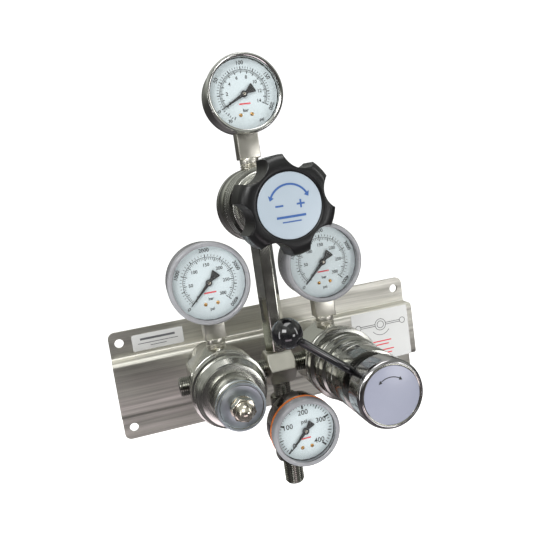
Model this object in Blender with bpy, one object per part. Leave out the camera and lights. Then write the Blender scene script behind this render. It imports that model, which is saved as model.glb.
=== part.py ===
"""Two-bank gas changeover manifold on a folded wall bracket: two side regulators joined by a
cross, a column carrying a top regulator with a handwheel, four dial gauges and a selector
lever.  Metres, +Z up, +X along the bracket, -Y out from the wall.  The origin is on the wall,
midway between the two upper mounting holes.

Pieces of a regulator or a gauge are parented to an empty whose local +Z points out from the
wall (world -Y) and whose local +Y is world +Z, so their turned profiles are pairs of
(radius, distance out from the wall)."""

import math

import bmesh
import bpy
from mathutils import Matrix, Vector

# Running gap between pieces that touch, how far a cutter runs past a face, and the number of
# sides on round pieces
GAP = 0.0003
OVERCUT = 0.001
SIDES = 24
FINE = 16
SMALL = 10
WHEEL_SIDES = 36

# Wall bracket: a hat section folded from sheet
SHEET = 0.0019
BRACKET_W = 0.2388
BRACKET_H = 0.0825
PLATE_H = 0.0422
HAT_DEPTH = 0.0149
BEND_R = 0.0014
CORNER_R = 0.0050
HOLE_R = 0.00335
HOLE_FROM_END = 0.0075
HOLE_FROM_EDGE = 0.0086

# Where the regulators stand
LEFT_X = -0.0499
RIGHT_X = 0.0285
CENTRE_X = -0.0090
AXIS_UP = 0.0087
PORT_OUT = 0.0604

# Regulator bodies
HEX_AF = 0.0424
BODY_R = 0.0245
BODY_BACK = 0.0479
SIDE_BODY_L = 0.0290
TOP_BODY_L = 0.0230
BOSS_R = 0.0160
SPOT_HALF = 0.0100
SOCKET_CLEAR = 0.0060
PORT_FACE = 0.0225
CHAMBER_R = 0.0160
CHAMBER_D = 0.0030
VALVE_R = 0.0045
VALVE_BEHIND = 0.0055
NOZZLE_R = 0.0019
NOZZLE_L = 0.0040
PASSAGE_R = 0.0025
POPPET_CLEAR = 0.0009
POPPET_L = 0.0085
POPPET_CONE_L = 0.0030
PIN_CLEAR = 0.0007

# Pipe threads, cut as plain cylinders
PIPE_R = 0.0066
PIPE_BORE_R = 0.0035
PIPE_ENGAGE = 0.0060
CROSS_ENGAGE = 0.0042
INLET_SHOWS = 0.0073

# Diaphragms, bonnets and springs
DIAPHRAGM_R = 0.0215
DIAPHRAGM_T = 0.0006
PLATE_R = 0.0105
PLATE_T = 0.0022
RING_R = 0.02435
FLANGE_R = 0.0223
RING_L = 0.0100
RING_AHEAD = 0.0011
SPRING_HOUSE_R = 0.0125
SPRING_R = 0.0086
SPRING_WIRE_R = 0.0012
BUTTON_R = 0.0105
BUTTON_T = 0.0030
BUTTON_BEHIND = 0.0015

# Left regulator: fixed pressure, set by a screw under a domed cap nut
LEFT_STEP_R = 0.0228
LEFT_NECK_R = 0.0200
LEFT_STEP_L = 0.0051
LEFT_CONE_L = 0.0037
LEFT_NECK_L = 0.0029
CAP_R = 0.0151
CAP_L = 0.0203
CAP_WALL = 0.0060
CAP_RIM_L = 0.0024
CAP_GROOVE_D = 0.0009
SCREW_R = 0.0042
NUT_AF = 0.0130
NUT_L = 0.0065
DOME_R = 0.0053

# Right regulator: the drum with the selector lever
DRUM_R = 0.02025
DRUM_STEP_R = 0.0216
DRUM_STEP_L = 0.0151
DRUM_WAIST_R = 0.0199
DRUM_WAIST_L = 0.0116
DRUM_SLEEVE_L = 0.0175
DRUM_WALL = 0.0039
GROOVE_W = 0.0090
COLLAR_R = 0.0160
SPIGOT_R = 0.0060
END_CAP_L = 0.0147
LABEL_R = 0.0174
LABEL_DEPTH = 0.0010
PIN_R = 0.0015
PIN_OFFSET = 0.0092
FOLLOWER_R = 0.0118
FOLLOWER_T = 0.0030
FOLLOWER_BACK = 0.0020
LEVER_R = 0.0025
LEVER_REACH = 0.0651
LEVER_ANGLE = math.radians(140.0)
LEVER_SEAT = 0.0055
BALL_R = 0.0090
BALL_STUD_R = 0.0019
BALL_STUD_L = 0.0060

# Top regulator and its handwheel
TOP_STAGE_R = 0.0202
TOP_STAGE_L = 0.0169
TOP_NECK_R = 0.0110
TOP_NECK_L = 0.0127
TOP_HOUSE_L = 0.0290
TOP_GROOVE_L = 0.0008
TOP_RING_L = 0.0055
TOP_CONE_L = 0.0021
STEM_R = 0.0046
STEM_TIP_R = 0.0028
STEM_TIP_L = 0.0018
HUB_STEM_R = 0.0037
HUB_STEM_L = 0.0030
WHEEL_R = 0.0286
WHEEL_L = 0.0228
WHEEL_CLEAR = 0.0052
WHEEL_SHOULDER = 0.0065
WHEEL_FACE_R = 0.0188
WHEEL_BORE_R = 0.0135
WHEEL_BORE_L = 0.0160
WHEEL_BEAD = 0.0010
WHEEL_LABEL_D = 0.0006
SCALLOPS = 6
SCALLOP_R = 0.0102
SCALLOP_AT = 0.0315
SCALLOP_PHASE = math.radians(9.0)

# Cross, column and outlet tee
CROSS_AF = 0.0220
CROSS_L = 0.0187
COLUMN_AF = 0.0132
COLUMN_L = 0.0757
STUD_R = 0.0052
TEE_R = 0.0092
TEE_BORE_R = 0.0027
TEE_WAY_R = 0.0020
TEE_DROP = 0.0092
TEE_L = 0.0465
TEE_HEX_L = 0.0110
TEE_HEX_AF = 0.0196
TEE_BRANCH_R = 0.0085
TEE_BRANCH_L = 0.0130
TEE_BRANCH_DOWN = 0.0113
OUTLET_L = 0.0186

# Gauges
FACE_AHEAD = 0.0160
SIDE_GAUGE_R = 0.0270
TOP_GAUGE_R = 0.0251
LOW_GAUGE_R = 0.0219
GAUGE_DEPTH = 0.0265
LOW_GAUGE_DEPTH = 0.0250
LOW_STEM_L = 0.0105
THREAD_SHOWS = 0.0035
SIDE_STEM_L = 0.0145
TOP_STEM_L = 0.0175
STEM_W = 0.0143
STEM_T = 0.0110
BEZEL_L = 0.0080
BEZEL_WALL = 0.0009
BEZEL_LIP = 0.0032
LIP_T = 0.0010
BEZEL_EDGE = 0.0012
CASE_EDGE = 0.0020
DIAL_CLEAR = 0.0004
CASE_WALL = 0.0012
WINDOW_T = 0.0016
DIAL_T = 0.0006
DIAL_BACK = 0.0056
HUB_R = 0.0022
SHAFT_R = 0.0008
TUBE_R = 0.0125
TUBE_W = 0.0024
TUBE_T = 0.0050
TUBE_START = math.radians(-98.0)
TUBE_SWEEP = math.radians(-250.0)
HUB_L = 0.0012
SHAFT_L = 0.0085
NEEDLE_T = 0.0005
NEEDLE_LIFT = 0.0006
LOW_BLOCK_HALF = 0.0045
LOW_TUBE_OUT = 0.0075
ZERO_ANGLE = math.radians(225.0)
TOP_ZERO_ANGLE = math.radians(208.0)

# Bolts that hold the side regulators to the bracket
BOLT_R = 0.0040
BOLT_HEAD_AF = 0.0130
BOLT_HEAD_L = 0.0053
BOLT_L = 0.0180

# Worked-out places
BRACKET_Z = -(BRACKET_H / 2 - HOLE_FROM_EDGE)
AXIS_Z = BRACKET_Z + AXIS_UP
TOP_Z = AXIS_Z + CROSS_AF / 2 + COLUMN_L + 2 * GAP + BODY_R
SIDE_FRONT = BODY_BACK + SIDE_BODY_L
TOP_FRONT = BODY_BACK + TOP_BODY_L
BONNET_AHEAD = DIAPHRAGM_T + 2 * GAP
RING_END = SIDE_FRONT + BONNET_AHEAD + RING_AHEAD + RING_L
CAP_BACK = RING_END + LEFT_STEP_L + LEFT_CONE_L + LEFT_NECK_L + GAP
DRUM_FRONT = RING_END + DRUM_STEP_L + DRUM_WAIST_L + DRUM_SLEEVE_L
LEVER_OUT = DRUM_FRONT + GROOVE_W / 2
TEE_TOP = AXIS_Z - CROSS_AF / 2 - TEE_DROP
BRANCH_Z = TEE_TOP - TEE_BRANCH_DOWN


# ---------------------------------------------------------------- scene and materials

def clear_scene():
    for obj in list(bpy.data.objects):
        bpy.data.objects.remove(obj, do_unlink=True)


def material(name, colour, roughness, metallic=0.0):
    """The named Principled material, made once."""
    found = bpy.data.materials.get(name)
    if found:
        return found
    made = bpy.data.materials.new(name)
    made.use_nodes = True
    shader = made.node_tree.nodes["Principled BSDF"]
    shader.inputs["Base Color"].default_value = (*colour, 1.0)
    shader.inputs["Roughness"].default_value = roughness
    shader.inputs["Metallic"].default_value = metallic
    made.diffuse_color = (*colour, 1.0)
    return made


def finishes():
    return {
        "steel_sheet": material("steel_sheet", (0.52, 0.50, 0.46), 0.34, 1.0),
        "plated": material("plated", (0.55, 0.55, 0.50), 0.18, 1.0),
        "turned_steel": material("turned_steel", (0.60, 0.60, 0.57), 0.26, 1.0),
        "zinc": material("zinc", (0.55, 0.60, 0.62), 0.38, 1.0),
        "brass": material("brass", (0.70, 0.52, 0.24), 0.30, 1.0),
        "black_plastic": material("black_plastic", (0.015, 0.015, 0.016), 0.42),
        "black_gloss": material("black_gloss", (0.010, 0.010, 0.011), 0.12),
        "spring_steel": material("spring_steel", (0.42, 0.42, 0.42), 0.40, 1.0),
        "stainless": material("stainless", (0.62, 0.62, 0.60), 0.30, 1.0),
        "dial_white": material("dial_white", (0.72, 0.79, 0.80), 0.55),
        "window": material("window", (0.85, 0.90, 0.92), 0.05),
    }


def place(mesh, name, slot, parent=None, spot=(0, 0, 0), turn=(0, 0, 0)):
    """An object with this mesh and material, placed under its parent."""
    obj = bpy.data.objects.new(name, mesh)
    bpy.context.scene.collection.objects.link(obj)
    mesh.materials.append(finishes()[slot])
    obj.parent = parent
    obj.location = spot
    obj.rotation_euler = turn
    return obj


def axis_empty(name, x, out, z):
    """An empty whose local +Z points out from the wall."""
    empty = bpy.data.objects.new(name, None)
    bpy.context.scene.collection.objects.link(empty)
    empty.empty_display_size = 0.01
    empty.location = (x, -out, z)
    empty.rotation_euler = (math.pi / 2, 0, 0)
    return empty


# ---------------------------------------------------------------- mesh tools

def finish_mesh(bm, name, sharp=math.radians(35)):
    bmesh.ops.remove_doubles(bm, verts=bm.verts, dist=1e-6)
    bmesh.ops.recalc_face_normals(bm, faces=bm.faces)
    mesh = bpy.data.meshes.new(name)
    bm.to_mesh(mesh)
    bm.free()
    mesh.shade_smooth()
    mesh.set_sharp_from_angle(angle=sharp)
    return mesh


def turned(name, profile, sides=SIDES):
    """A closed profile of (radius, height) points spun about local Z."""
    bm = bmesh.new()
    ring = [bm.verts.new((radius, 0, height)) for radius, height in profile]
    edges = [bm.edges.new((a, b)) for a, b in zip(ring, ring[1:] + ring[:1])
             if a.co.x > 0 or b.co.x > 0]
    bmesh.ops.spin(bm, geom=ring + edges, cent=(0, 0, 0), axis=(0, 0, 1),
                   angle=math.tau, steps=sides, use_merge=True)
    return finish_mesh(bm, name)


def prism(name, sides, radius, low, high, phase=0.0, chamfer=0.0):
    """An upright prism between two heights, its end edges chamfered."""
    bm = bmesh.new()
    turn = Matrix.Translation((0, 0, low)) @ Matrix.Rotation(phase, 4, "Z")
    made = bmesh.ops.create_circle(bm, cap_ends=True, segments=sides, radius=radius,
                                   matrix=turn)
    face = made["verts"][0].link_faces[0]
    grown = bmesh.ops.extrude_face_region(bm, geom=[face])
    tops = [v for v in grown["geom"] if isinstance(v, bmesh.types.BMVert)]
    bmesh.ops.translate(bm, verts=tops, vec=(0, 0, high - low))
    if chamfer:
        rims = [e for e in bm.edges if abs(e.verts[0].co.z - e.verts[1].co.z) < 1e-9]
        bmesh.ops.bevel(bm, geom=rims, offset=chamfer, segments=1, affect="EDGES")
    return finish_mesh(bm, name)


def hexagon(name, across_flats, low, high, phase=0.0, chamfer=0.0):
    return prism(name, 6, across_flats / math.sqrt(3), low, high, phase, chamfer)


def rod(name, radius, low, high, sides=FINE, chamfer=0.0):
    return prism(name, sides, radius, low, high, 0.0, chamfer)


def tube(name, outer, inner, low, high, sides=FINE):
    return turned(name, [(inner, low), (outer, low), (outer, high), (inner, high)], sides)


def box(name, low, high):
    bm = bmesh.new()
    bmesh.ops.create_cube(bm, size=1.0)
    low, high = Vector(low), Vector(high)
    for vert in bm.verts:
        vert.co = [(l + h) / 2 + c * (h - l) for l, h, c in zip(low, high, vert.co)]
    return finish_mesh(bm, name)


def along(direction):
    """The rotation that takes local +Z to this direction."""
    return Vector(direction).to_track_quat("Z", "Y").to_euler()


def helper(mesh, parent, spot=(0, 0, 0), turn=(0, 0, 0)):
    """A hidden object that cuts or joins another."""
    obj = bpy.data.objects.new(mesh.name, mesh)
    bpy.context.scene.collection.objects.link(obj)
    obj.parent = parent
    obj.location = spot
    obj.rotation_euler = turn
    obj.hide_render = True
    obj.display_type = "WIRE"
    return obj


def combine(target, other, operation):
    step = target.modifiers.new(other.name, "BOOLEAN")
    step.operation = operation
    step.object = other
    step.solver = "EXACT"


def cut(target, other):
    combine(target, other, "DIFFERENCE")


def join(target, other):
    combine(target, other, "UNION")


# ---------------------------------------------------------------- bracket

def rounded(corners, steps=3):
    """Points of a closed outline given as (point, fillet radius) corners."""
    points = []
    count = len(corners)
    for index, (corner, radius) in enumerate(corners):
        corner = Vector(corner)
        before = (Vector(corners[index - 1][0]) - corner).normalized()
        after = (Vector(corners[(index + 1) % count][0]) - corner).normalized()
        if not radius:
            points.append(corner)
            continue
        centre = corner + (before + after) * radius
        for step in range(steps + 1):
            angle = math.pi / 2 * step / steps
            points.append(centre - after * radius * math.cos(angle)
                          - before * radius * math.sin(angle))
    return points


def bracket_outline():
    """The hat section as (out, height) points: front side up, then back side down."""
    edge = BRACKET_H / 2
    wall = PLATE_H / 2
    inner = wall - SHEET
    tight, wide = BEND_R, BEND_R + SHEET
    return rounded([((SHEET, -edge), 0), ((SHEET, -wall), tight), ((HAT_DEPTH, -wall), wide),
                    ((HAT_DEPTH, wall), wide), ((SHEET, wall), tight), ((SHEET, edge), 0),
                    ((0, edge), 0), ((0, inner), wide), ((HAT_DEPTH - SHEET, inner), tight),
                    ((HAT_DEPTH - SHEET, -inner), tight), ((0, -inner), wide), ((0, -edge), 0)])


def folded_sheet():
    bm = bmesh.new()
    ring = [bm.verts.new((-BRACKET_W / 2, -out, height)) for out, height in bracket_outline()]
    face = bm.faces.new(ring)
    grown = bmesh.ops.extrude_face_region(bm, geom=[face])
    ends = [v for v in grown["geom"] if isinstance(v, bmesh.types.BMVert)]
    bmesh.ops.translate(bm, verts=ends, vec=(BRACKET_W, 0, 0))
    corners = [e for e in bm.edges if abs(abs(e.verts[0].co.z) - BRACKET_H / 2) < 1e-6
               and abs(e.verts[0].co.y - e.verts[1].co.y) > SHEET / 2
               and abs(e.verts[0].co.z - e.verts[1].co.z) < 1e-6]
    bmesh.ops.bevel(bm, geom=corners, offset=CORNER_R, segments=5, affect="EDGES")
    bmesh.ops.triangulate(bm, faces=[f for f in bm.faces if len(f.verts) > 4])
    return finish_mesh(bm, "mounting_bracket", math.radians(25))


def make_bracket():
    bracket = place(folded_sheet(), "mounting_bracket", "steel_sheet",
                    spot=(0, 0, BRACKET_Z))
    across = BRACKET_W / 2 - HOLE_FROM_END
    up = BRACKET_H / 2 - HOLE_FROM_EDGE
    for index, (x, z) in enumerate([(-across, up), (across, up), (-across, -up),
                                    (across, -up)]):
        drill = rod(f"screw_hole_{index}", HOLE_R, -2 * SHEET, 2 * SHEET)
        cut(bracket, helper(drill, bracket, (x, 0, z), along((0, -1, 0))))
    for index, x in enumerate([LEFT_X, RIGHT_X]):
        drill = rod(f"bolt_hole_{index}", BOLT_R + GAP, HAT_DEPTH - 2 * SHEET,
                    HAT_DEPTH + SHEET)
        cut(bracket, helper(drill, bracket, (x, 0, AXIS_UP), along((0, -1, 0))))


def make_bolt(name, axis):
    """A hex bolt from inside the hat into the boss of a side regulator."""
    seat = HAT_DEPTH - SHEET - GAP
    bolt = place(hexagon(name, BOLT_HEAD_AF, seat - BOLT_HEAD_L, seat, 0, 0.0006), name,
                 "zinc", axis)
    join(bolt, helper(rod(name + "_shank", BOLT_R, seat - OVERCUT, seat + BOLT_L), axis))


# ---------------------------------------------------------------- regulator bodies

def cut_gas_passages(body, axis, front, sides_ported, top_port):
    """Chamber, valve bore and nozzle on the axis, then the pipe sockets around it."""
    floor = front - CHAMBER_D
    cut(body, helper(rod(body.name + "_chamber", CHAMBER_R, floor, front + OVERCUT,
                         SIDES), axis))
    valve_top = floor - NOZZLE_L
    cut(body, helper(rod(body.name + "_nozzle", NOZZLE_R, valve_top - OVERCUT,
                         floor + OVERCUT, SMALL), axis))
    valve_low = PORT_OUT - PASSAGE_R - VALVE_BEHIND
    cut(body, helper(rod(body.name + "_valve", VALVE_R, valve_low, valve_top), axis))
    for tag, direction, face in sides_ported + ([("gauge", (0, 1, 0), top_port)]
                                                if top_port else []):
        spot = Vector(direction) * face
        spot.z = PORT_OUT
        socket = rod(f"{body.name}_{tag}_socket", PIPE_R + GAP, -PIPE_ENGAGE - 2 * GAP,
                     SOCKET_CLEAR)
        cut(body, helper(socket, axis, spot, along(direction)))
        passage = rod(f"{body.name}_{tag}_way", PASSAGE_R, -(face - VALVE_R / 2),
                      -PIPE_ENGAGE, SMALL)
        cut(body, helper(passage, axis, spot, along(direction)))


def cut_chamber_link(body, axis, front):
    """The small drilling from the outlet passage forward to the diaphragm chamber."""
    drill = rod(body.name + "_link", PASSAGE_R * 0.6, PORT_OUT, front - CHAMBER_D / 2, SMALL)
    return helper(drill, axis, (CHAMBER_R * 0.7, 0, 0))


def make_side_body(name, axis):
    body = place(hexagon(name, HEX_AF, BODY_BACK, SIDE_FRONT, 0, 0.0010), name, "plated",
                 axis)
    boss = rod(name + "_boss", BOSS_R, HAT_DEPTH + GAP, BODY_BACK + OVERCUT, SIDES, 0.0005)
    join(body, helper(boss, axis))
    trim = box(name + "_spot_face", (-SPOT_HALF, PORT_FACE, PORT_OUT - SPOT_HALF),
               (SPOT_HALF, BODY_R + OVERCUT, PORT_OUT + SPOT_HALF))
    cut(body, helper(trim, axis))
    cut_gas_passages(body, axis, SIDE_FRONT,
                     [("left", (-1, 0, 0), HEX_AF / 2), ("right", (1, 0, 0), HEX_AF / 2)],
                     PORT_FACE)
    cut(body, cut_chamber_link(body, axis, SIDE_FRONT))
    seat = rod(name + "_bolt_hole", BOLT_R + GAP, HAT_DEPTH - OVERCUT,
               HAT_DEPTH + BOLT_L + GAP)
    cut(body, helper(seat, axis))
    return body


def make_top_body(axis):
    name = "top_body"
    edge = 0.0008
    profile = [(0, BODY_BACK), (BODY_R - 2 * edge, BODY_BACK), (BODY_R, BODY_BACK + 2 * edge),
               (BODY_R, TOP_FRONT - edge), (BODY_R - edge, TOP_FRONT), (0, TOP_FRONT)]
    body = place(turned(name, profile), name, "plated", axis)
    cut_gas_passages(body, axis, TOP_FRONT, [("column", (0, -1, 0), BODY_R)], BODY_R)
    cut(body, cut_chamber_link(body, axis, TOP_FRONT))


def make_diaphragm(name, axis, front):
    """A thin disc with its backing plate and pin bearing."""
    low = front + GAP
    plate = low + DIAPHRAGM_T
    profile = [(0, low), (DIAPHRAGM_R, low), (DIAPHRAGM_R, plate), (PLATE_R, plate),
               (PLATE_R, plate + PLATE_T), (0, plate + PLATE_T)]
    place(turned(name, profile), name, "stainless", axis)


def make_poppet(name, axis, front):
    """The valve poppet: a coned head behind the nozzle and a pin up to the diaphragm."""
    nozzle_back = front - CHAMBER_D - NOZZLE_L
    head = VALVE_R - POPPET_CLEAR
    pin = NOZZLE_R - PIN_CLEAR
    base = nozzle_back - POPPET_L
    profile = [(0, base), (head, base), (head, nozzle_back - POPPET_CONE_L),
               (pin, nozzle_back - GAP), (pin, front - GAP), (0, front - GAP)]
    place(turned(name, profile, SMALL), name, "brass", axis)


def make_spring(name, axis, low, high, turns):
    """A compression spring: a round wire on a helix."""
    steps = 10 * turns
    curve = bpy.data.curves.new(name + "_path", "CURVE")
    curve.dimensions = "3D"
    line = curve.splines.new("POLY")
    line.points.add(steps)
    rise = high - low - 2 * SPRING_WIRE_R
    for index, point in enumerate(line.points):
        angle = math.tau * turns * index / steps
        point.co = (SPRING_R * math.cos(angle), SPRING_R * math.sin(angle),
                    low + SPRING_WIRE_R + rise * index / steps, 1)
    curve.bevel_depth = SPRING_WIRE_R
    curve.bevel_resolution = 0
    curve.use_fill_caps = True
    curve.materials.append(finishes()["spring_steel"])
    spring = bpy.data.objects.new(name, curve)
    bpy.context.scene.collection.objects.link(spring)
    spring.parent = axis


def make_button(name, axis, back):
    """The cup that the spring pushes on and the adjusting screw bears against."""
    front = back + BUTTON_T
    guide = SPRING_R - 2 * SPRING_WIRE_R
    profile = [(0, back - BUTTON_T), (guide, back - BUTTON_T), (guide, back), (BUTTON_R, back),
               (BUTTON_R, front), (0, front)]
    place(turned(name, profile, FINE), name, "brass", axis)


def flange_and_ring(back):
    """Outer profile shared by the bonnets: the flange, then the wide clamp ring."""
    ring = back + RING_AHEAD
    chamfer = 0.0005
    return [(SPRING_HOUSE_R, back), (FLANGE_R, back), (FLANGE_R, ring),
            (RING_R - chamfer, ring), (RING_R, ring + chamfer),
            (RING_R, ring + RING_L - chamfer), (RING_R - chamfer, ring + RING_L)]


# ---------------------------------------------------------------- left regulator

def make_left_bonnet(axis):
    back = SIDE_FRONT + BONNET_AHEAD
    profile = flange_and_ring(back)
    step = profile[-1][1]
    cone = step + LEFT_STEP_L
    neck = cone + LEFT_CONE_L
    face = neck + LEFT_NECK_L
    profile += [(LEFT_STEP_R, step), (LEFT_STEP_R, cone), (LEFT_NECK_R, neck),
                (LEFT_NECK_R, face - 0.0005), (LEFT_NECK_R - 0.0005, face),
                (SPRING_HOUSE_R, face)]
    place(turned("left_bonnet", profile), "left_bonnet", "turned_steel", axis)


def make_left_cap(axis):
    """The plain front cylinder, open at the back, with a small rim round its face."""
    front = CAP_BACK + CAP_L
    inside = SPRING_HOUSE_R - GAP
    neck = CAP_R - CAP_GROOVE_D
    groove = front - CAP_RIM_L - CAP_GROOVE_D
    profile = [(inside, CAP_BACK), (CAP_R, CAP_BACK), (CAP_R, groove - CAP_GROOVE_D),
               (neck, groove - CAP_GROOVE_D), (neck, groove + CAP_GROOVE_D),
               (CAP_R - CAP_GROOVE_D / 2, groove + CAP_GROOVE_D),
               (CAP_R - CAP_GROOVE_D / 2, front), (SCREW_R + GAP, front),
               (SCREW_R + GAP, front - CAP_WALL), (inside, front - CAP_WALL)]
    place(turned("left_spring_cap", profile), "left_spring_cap", "zinc", axis)
    return front


def make_left_screw(axis, cap_front, button_front):
    """The set screw and its domed cap nut, locked together."""
    seat = cap_front + GAP
    shoulder = seat + NUT_L
    nut = place(hexagon("left_set_screw", NUT_AF, seat, shoulder, math.radians(12), 0.0007),
                "left_set_screw", "brass", axis)
    join(nut, helper(rod("set_screw_shank", SCREW_R, button_front + GAP, seat + OVERCUT), axis))
    base = shoulder + OVERCUT
    dome = [(0, shoulder - OVERCUT), (DOME_R, shoulder - OVERCUT), (DOME_R, base)]
    for step in range(1, 6):
        angle = math.pi / 2 * step / 6
        dome.append((DOME_R * math.cos(angle), base + DOME_R * math.sin(angle)))
    dome.append((0, base + DOME_R))
    join(nut, helper(turned("nut_dome", dome, FINE), axis))


def make_left_regulator():
    axis = axis_empty("left_axis", LEFT_X, 0, AXIS_Z)
    make_bolt("left_bolt", axis)
    make_side_body("left_body", axis)
    make_diaphragm("left_diaphragm", axis, SIDE_FRONT)
    make_poppet("left_poppet", axis, SIDE_FRONT)
    make_left_bonnet(axis)
    cap_front = make_left_cap(axis)
    button_back = cap_front - CAP_WALL - BUTTON_T - BUTTON_BEHIND
    plate_front = SIDE_FRONT + GAP + DIAPHRAGM_T + PLATE_T
    make_spring("left_range_spring", axis, plate_front + GAP, button_back - GAP, 5)
    make_button("left_spring_button", axis, button_back)
    make_left_screw(axis, cap_front, button_back + BUTTON_T)


# ---------------------------------------------------------------- right regulator

def make_drum(axis):
    """Bonnet of the right regulator: ring, shoulder, waist and sleeve, with a front wall."""
    back = SIDE_FRONT + BONNET_AHEAD
    profile = flange_and_ring(back)
    step = profile[-1][1]
    waist = step + DRUM_STEP_L
    sleeve = waist + DRUM_WAIST_L
    wall = DRUM_FRONT - DRUM_WALL
    edge = 0.0004
    profile += [(DRUM_STEP_R, step), (DRUM_STEP_R, waist - edge), (DRUM_STEP_R - edge, waist),
                (DRUM_WAIST_R, waist), (DRUM_WAIST_R, sleeve), (DRUM_R, sleeve),
                (DRUM_R, DRUM_FRONT - edge), (DRUM_R - edge, DRUM_FRONT),
                (SPIGOT_R + GAP, DRUM_FRONT), (SPIGOT_R + GAP, wall), (SPRING_HOUSE_R, wall)]
    drum = place(turned("right_drum", profile), "right_drum", "turned_steel", axis)
    for side in (-1, 1):
        hole = rod(f"drum_pin_hole_{side}", PIN_R + GAP, wall - OVERCUT,
                   DRUM_FRONT + OVERCUT, SMALL)
        cut(drum, helper(hole, axis, (side * PIN_OFFSET, 0, 0)))


def make_end_cap(axis):
    """Front of the drum on a spigot that passes through the collar into the drum."""
    back = DRUM_FRONT + GROOVE_W
    front = back + END_CAP_L
    root = DRUM_FRONT - DRUM_WALL
    rim = 0.0016
    profile = [(0, root), (SPIGOT_R, root), (SPIGOT_R, back), (DRUM_R - 0.0004, back),
               (DRUM_R, back + 0.0004), (DRUM_R, front - rim)]
    for step in range(1, 4):
        angle = math.pi / 2 * step / 3
        profile.append((DRUM_R - rim + rim * math.cos(angle),
                        front - rim + rim * math.sin(angle)))
    profile += [(LABEL_R, front), (LABEL_R, front - LABEL_DEPTH), (0, front - LABEL_DEPTH)]
    place(turned("drum_end_cap", profile), "drum_end_cap", "turned_steel", axis)


def lever_direction():
    return Vector((math.cos(LEVER_ANGLE), math.sin(LEVER_ANGLE), 0))


def make_collar(axis):
    low = DRUM_FRONT + GAP
    high = DRUM_FRONT + GROOVE_W - GAP
    collar = place(tube("selector_collar", COLLAR_R, SPIGOT_R + GAP, low, high, SIDES),
                   "selector_collar", "black_plastic", axis)
    socket = rod("collar_socket", LEVER_R + GAP, COLLAR_R - LEVER_SEAT, COLLAR_R + LEVER_SEAT)
    cut(collar, helper(socket, axis, (0, 0, LEVER_OUT), along(lever_direction())))


def make_lever(axis):
    """The rod and the ball on its end, both on the radial line of the collar's socket."""
    turn = along(lever_direction())
    spot = (0, 0, LEVER_OUT)
    start = COLLAR_R - LEVER_SEAT + GAP
    shoulder = LEVER_REACH - BALL_R
    stud_end = shoulder + BALL_STUD_L
    profile = [(0, start), (LEVER_R, start), (LEVER_R, shoulder), (BALL_STUD_R, shoulder),
               (BALL_STUD_R, stud_end), (0, stud_end)]
    place(turned("selector_lever", profile, FINE), "selector_lever", "black_gloss", axis, spot,
          turn)
    ball = bpy.data.meshes.new("selector_ball")
    bm = bmesh.new()
    bmesh.ops.create_uvsphere(bm, u_segments=20, v_segments=12, radius=BALL_R,
                              matrix=Matrix.Translation((0, 0, LEVER_REACH)))
    bm.to_mesh(ball)
    bm.free()
    ball.shade_smooth()
    knob = place(ball, "selector_ball", "black_gloss", axis, spot, turn)
    flat = rod("ball_flat", BALL_R, shoulder - 2 * OVERCUT, shoulder + 2 * GAP)
    cut(knob, helper(flat, axis, spot, turn))
    hole = rod("ball_hole", BALL_STUD_R + GAP, shoulder - OVERCUT, stud_end + GAP)
    cut(knob, helper(hole, axis, spot, turn))


def make_follower(axis):
    """A disc on two pins that the collar's cam pushes back against the spring."""
    front = DRUM_FRONT - DRUM_WALL - FOLLOWER_BACK
    back = front - FOLLOWER_T
    guide = SPRING_R - 2 * SPRING_WIRE_R
    profile = [(0, back - FOLLOWER_T), (guide, back - FOLLOWER_T), (guide, back),
               (FOLLOWER_R, back), (FOLLOWER_R, front), (0, front)]
    disc = place(turned("cam_follower", profile, FINE), "cam_follower", "stainless", axis)
    for side in (-1, 1):
        pin = rod(f"cam_pin_{side}", PIN_R, front - OVERCUT, DRUM_FRONT, SMALL)
        join(disc, helper(pin, axis, (side * PIN_OFFSET, 0, 0)))
    return back


def make_right_regulator():
    axis = axis_empty("right_axis", RIGHT_X, 0, AXIS_Z)
    make_bolt("right_bolt", axis)
    make_side_body("right_body", axis)
    make_diaphragm("right_diaphragm", axis, SIDE_FRONT)
    make_poppet("right_poppet", axis, SIDE_FRONT)
    make_drum(axis)
    make_end_cap(axis)
    make_collar(axis)
    make_lever(axis)
    follower_back = make_follower(axis)
    plate_front = SIDE_FRONT + GAP + DIAPHRAGM_T + PLATE_T
    make_spring("right_range_spring", axis, plate_front + GAP, follower_back - GAP, 6)


# ---------------------------------------------------------------- top regulator

def make_top_bonnet(axis):
    """Returns the distances out of its shoulder and of the back of its front wall."""
    back = TOP_FRONT + BONNET_AHEAD
    profile = flange_and_ring(back)
    groove = profile[-1][1]
    second = groove + TOP_GROOVE_L
    ring_end = second + TOP_RING_L
    stage = ring_end + TOP_CONE_L
    shoulder = stage + TOP_STAGE_L
    neck = shoulder + TOP_NECK_L
    wall = back + TOP_HOUSE_L
    edge = 0.0005
    profile += [(RING_R - edge, second), (RING_R, second + edge), (RING_R, ring_end - edge),
                (RING_R - edge, ring_end), (TOP_STAGE_R + 3 * edge, ring_end),
                (TOP_STAGE_R, stage), (TOP_STAGE_R, shoulder), (TOP_NECK_R, shoulder),
                (TOP_NECK_R, neck), (STEM_R + GAP, neck), (STEM_R + GAP, wall),
                (SPRING_HOUSE_R, wall)]
    place(turned("top_bonnet", profile), "top_bonnet", "turned_steel", axis)
    return shoulder, wall


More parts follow.
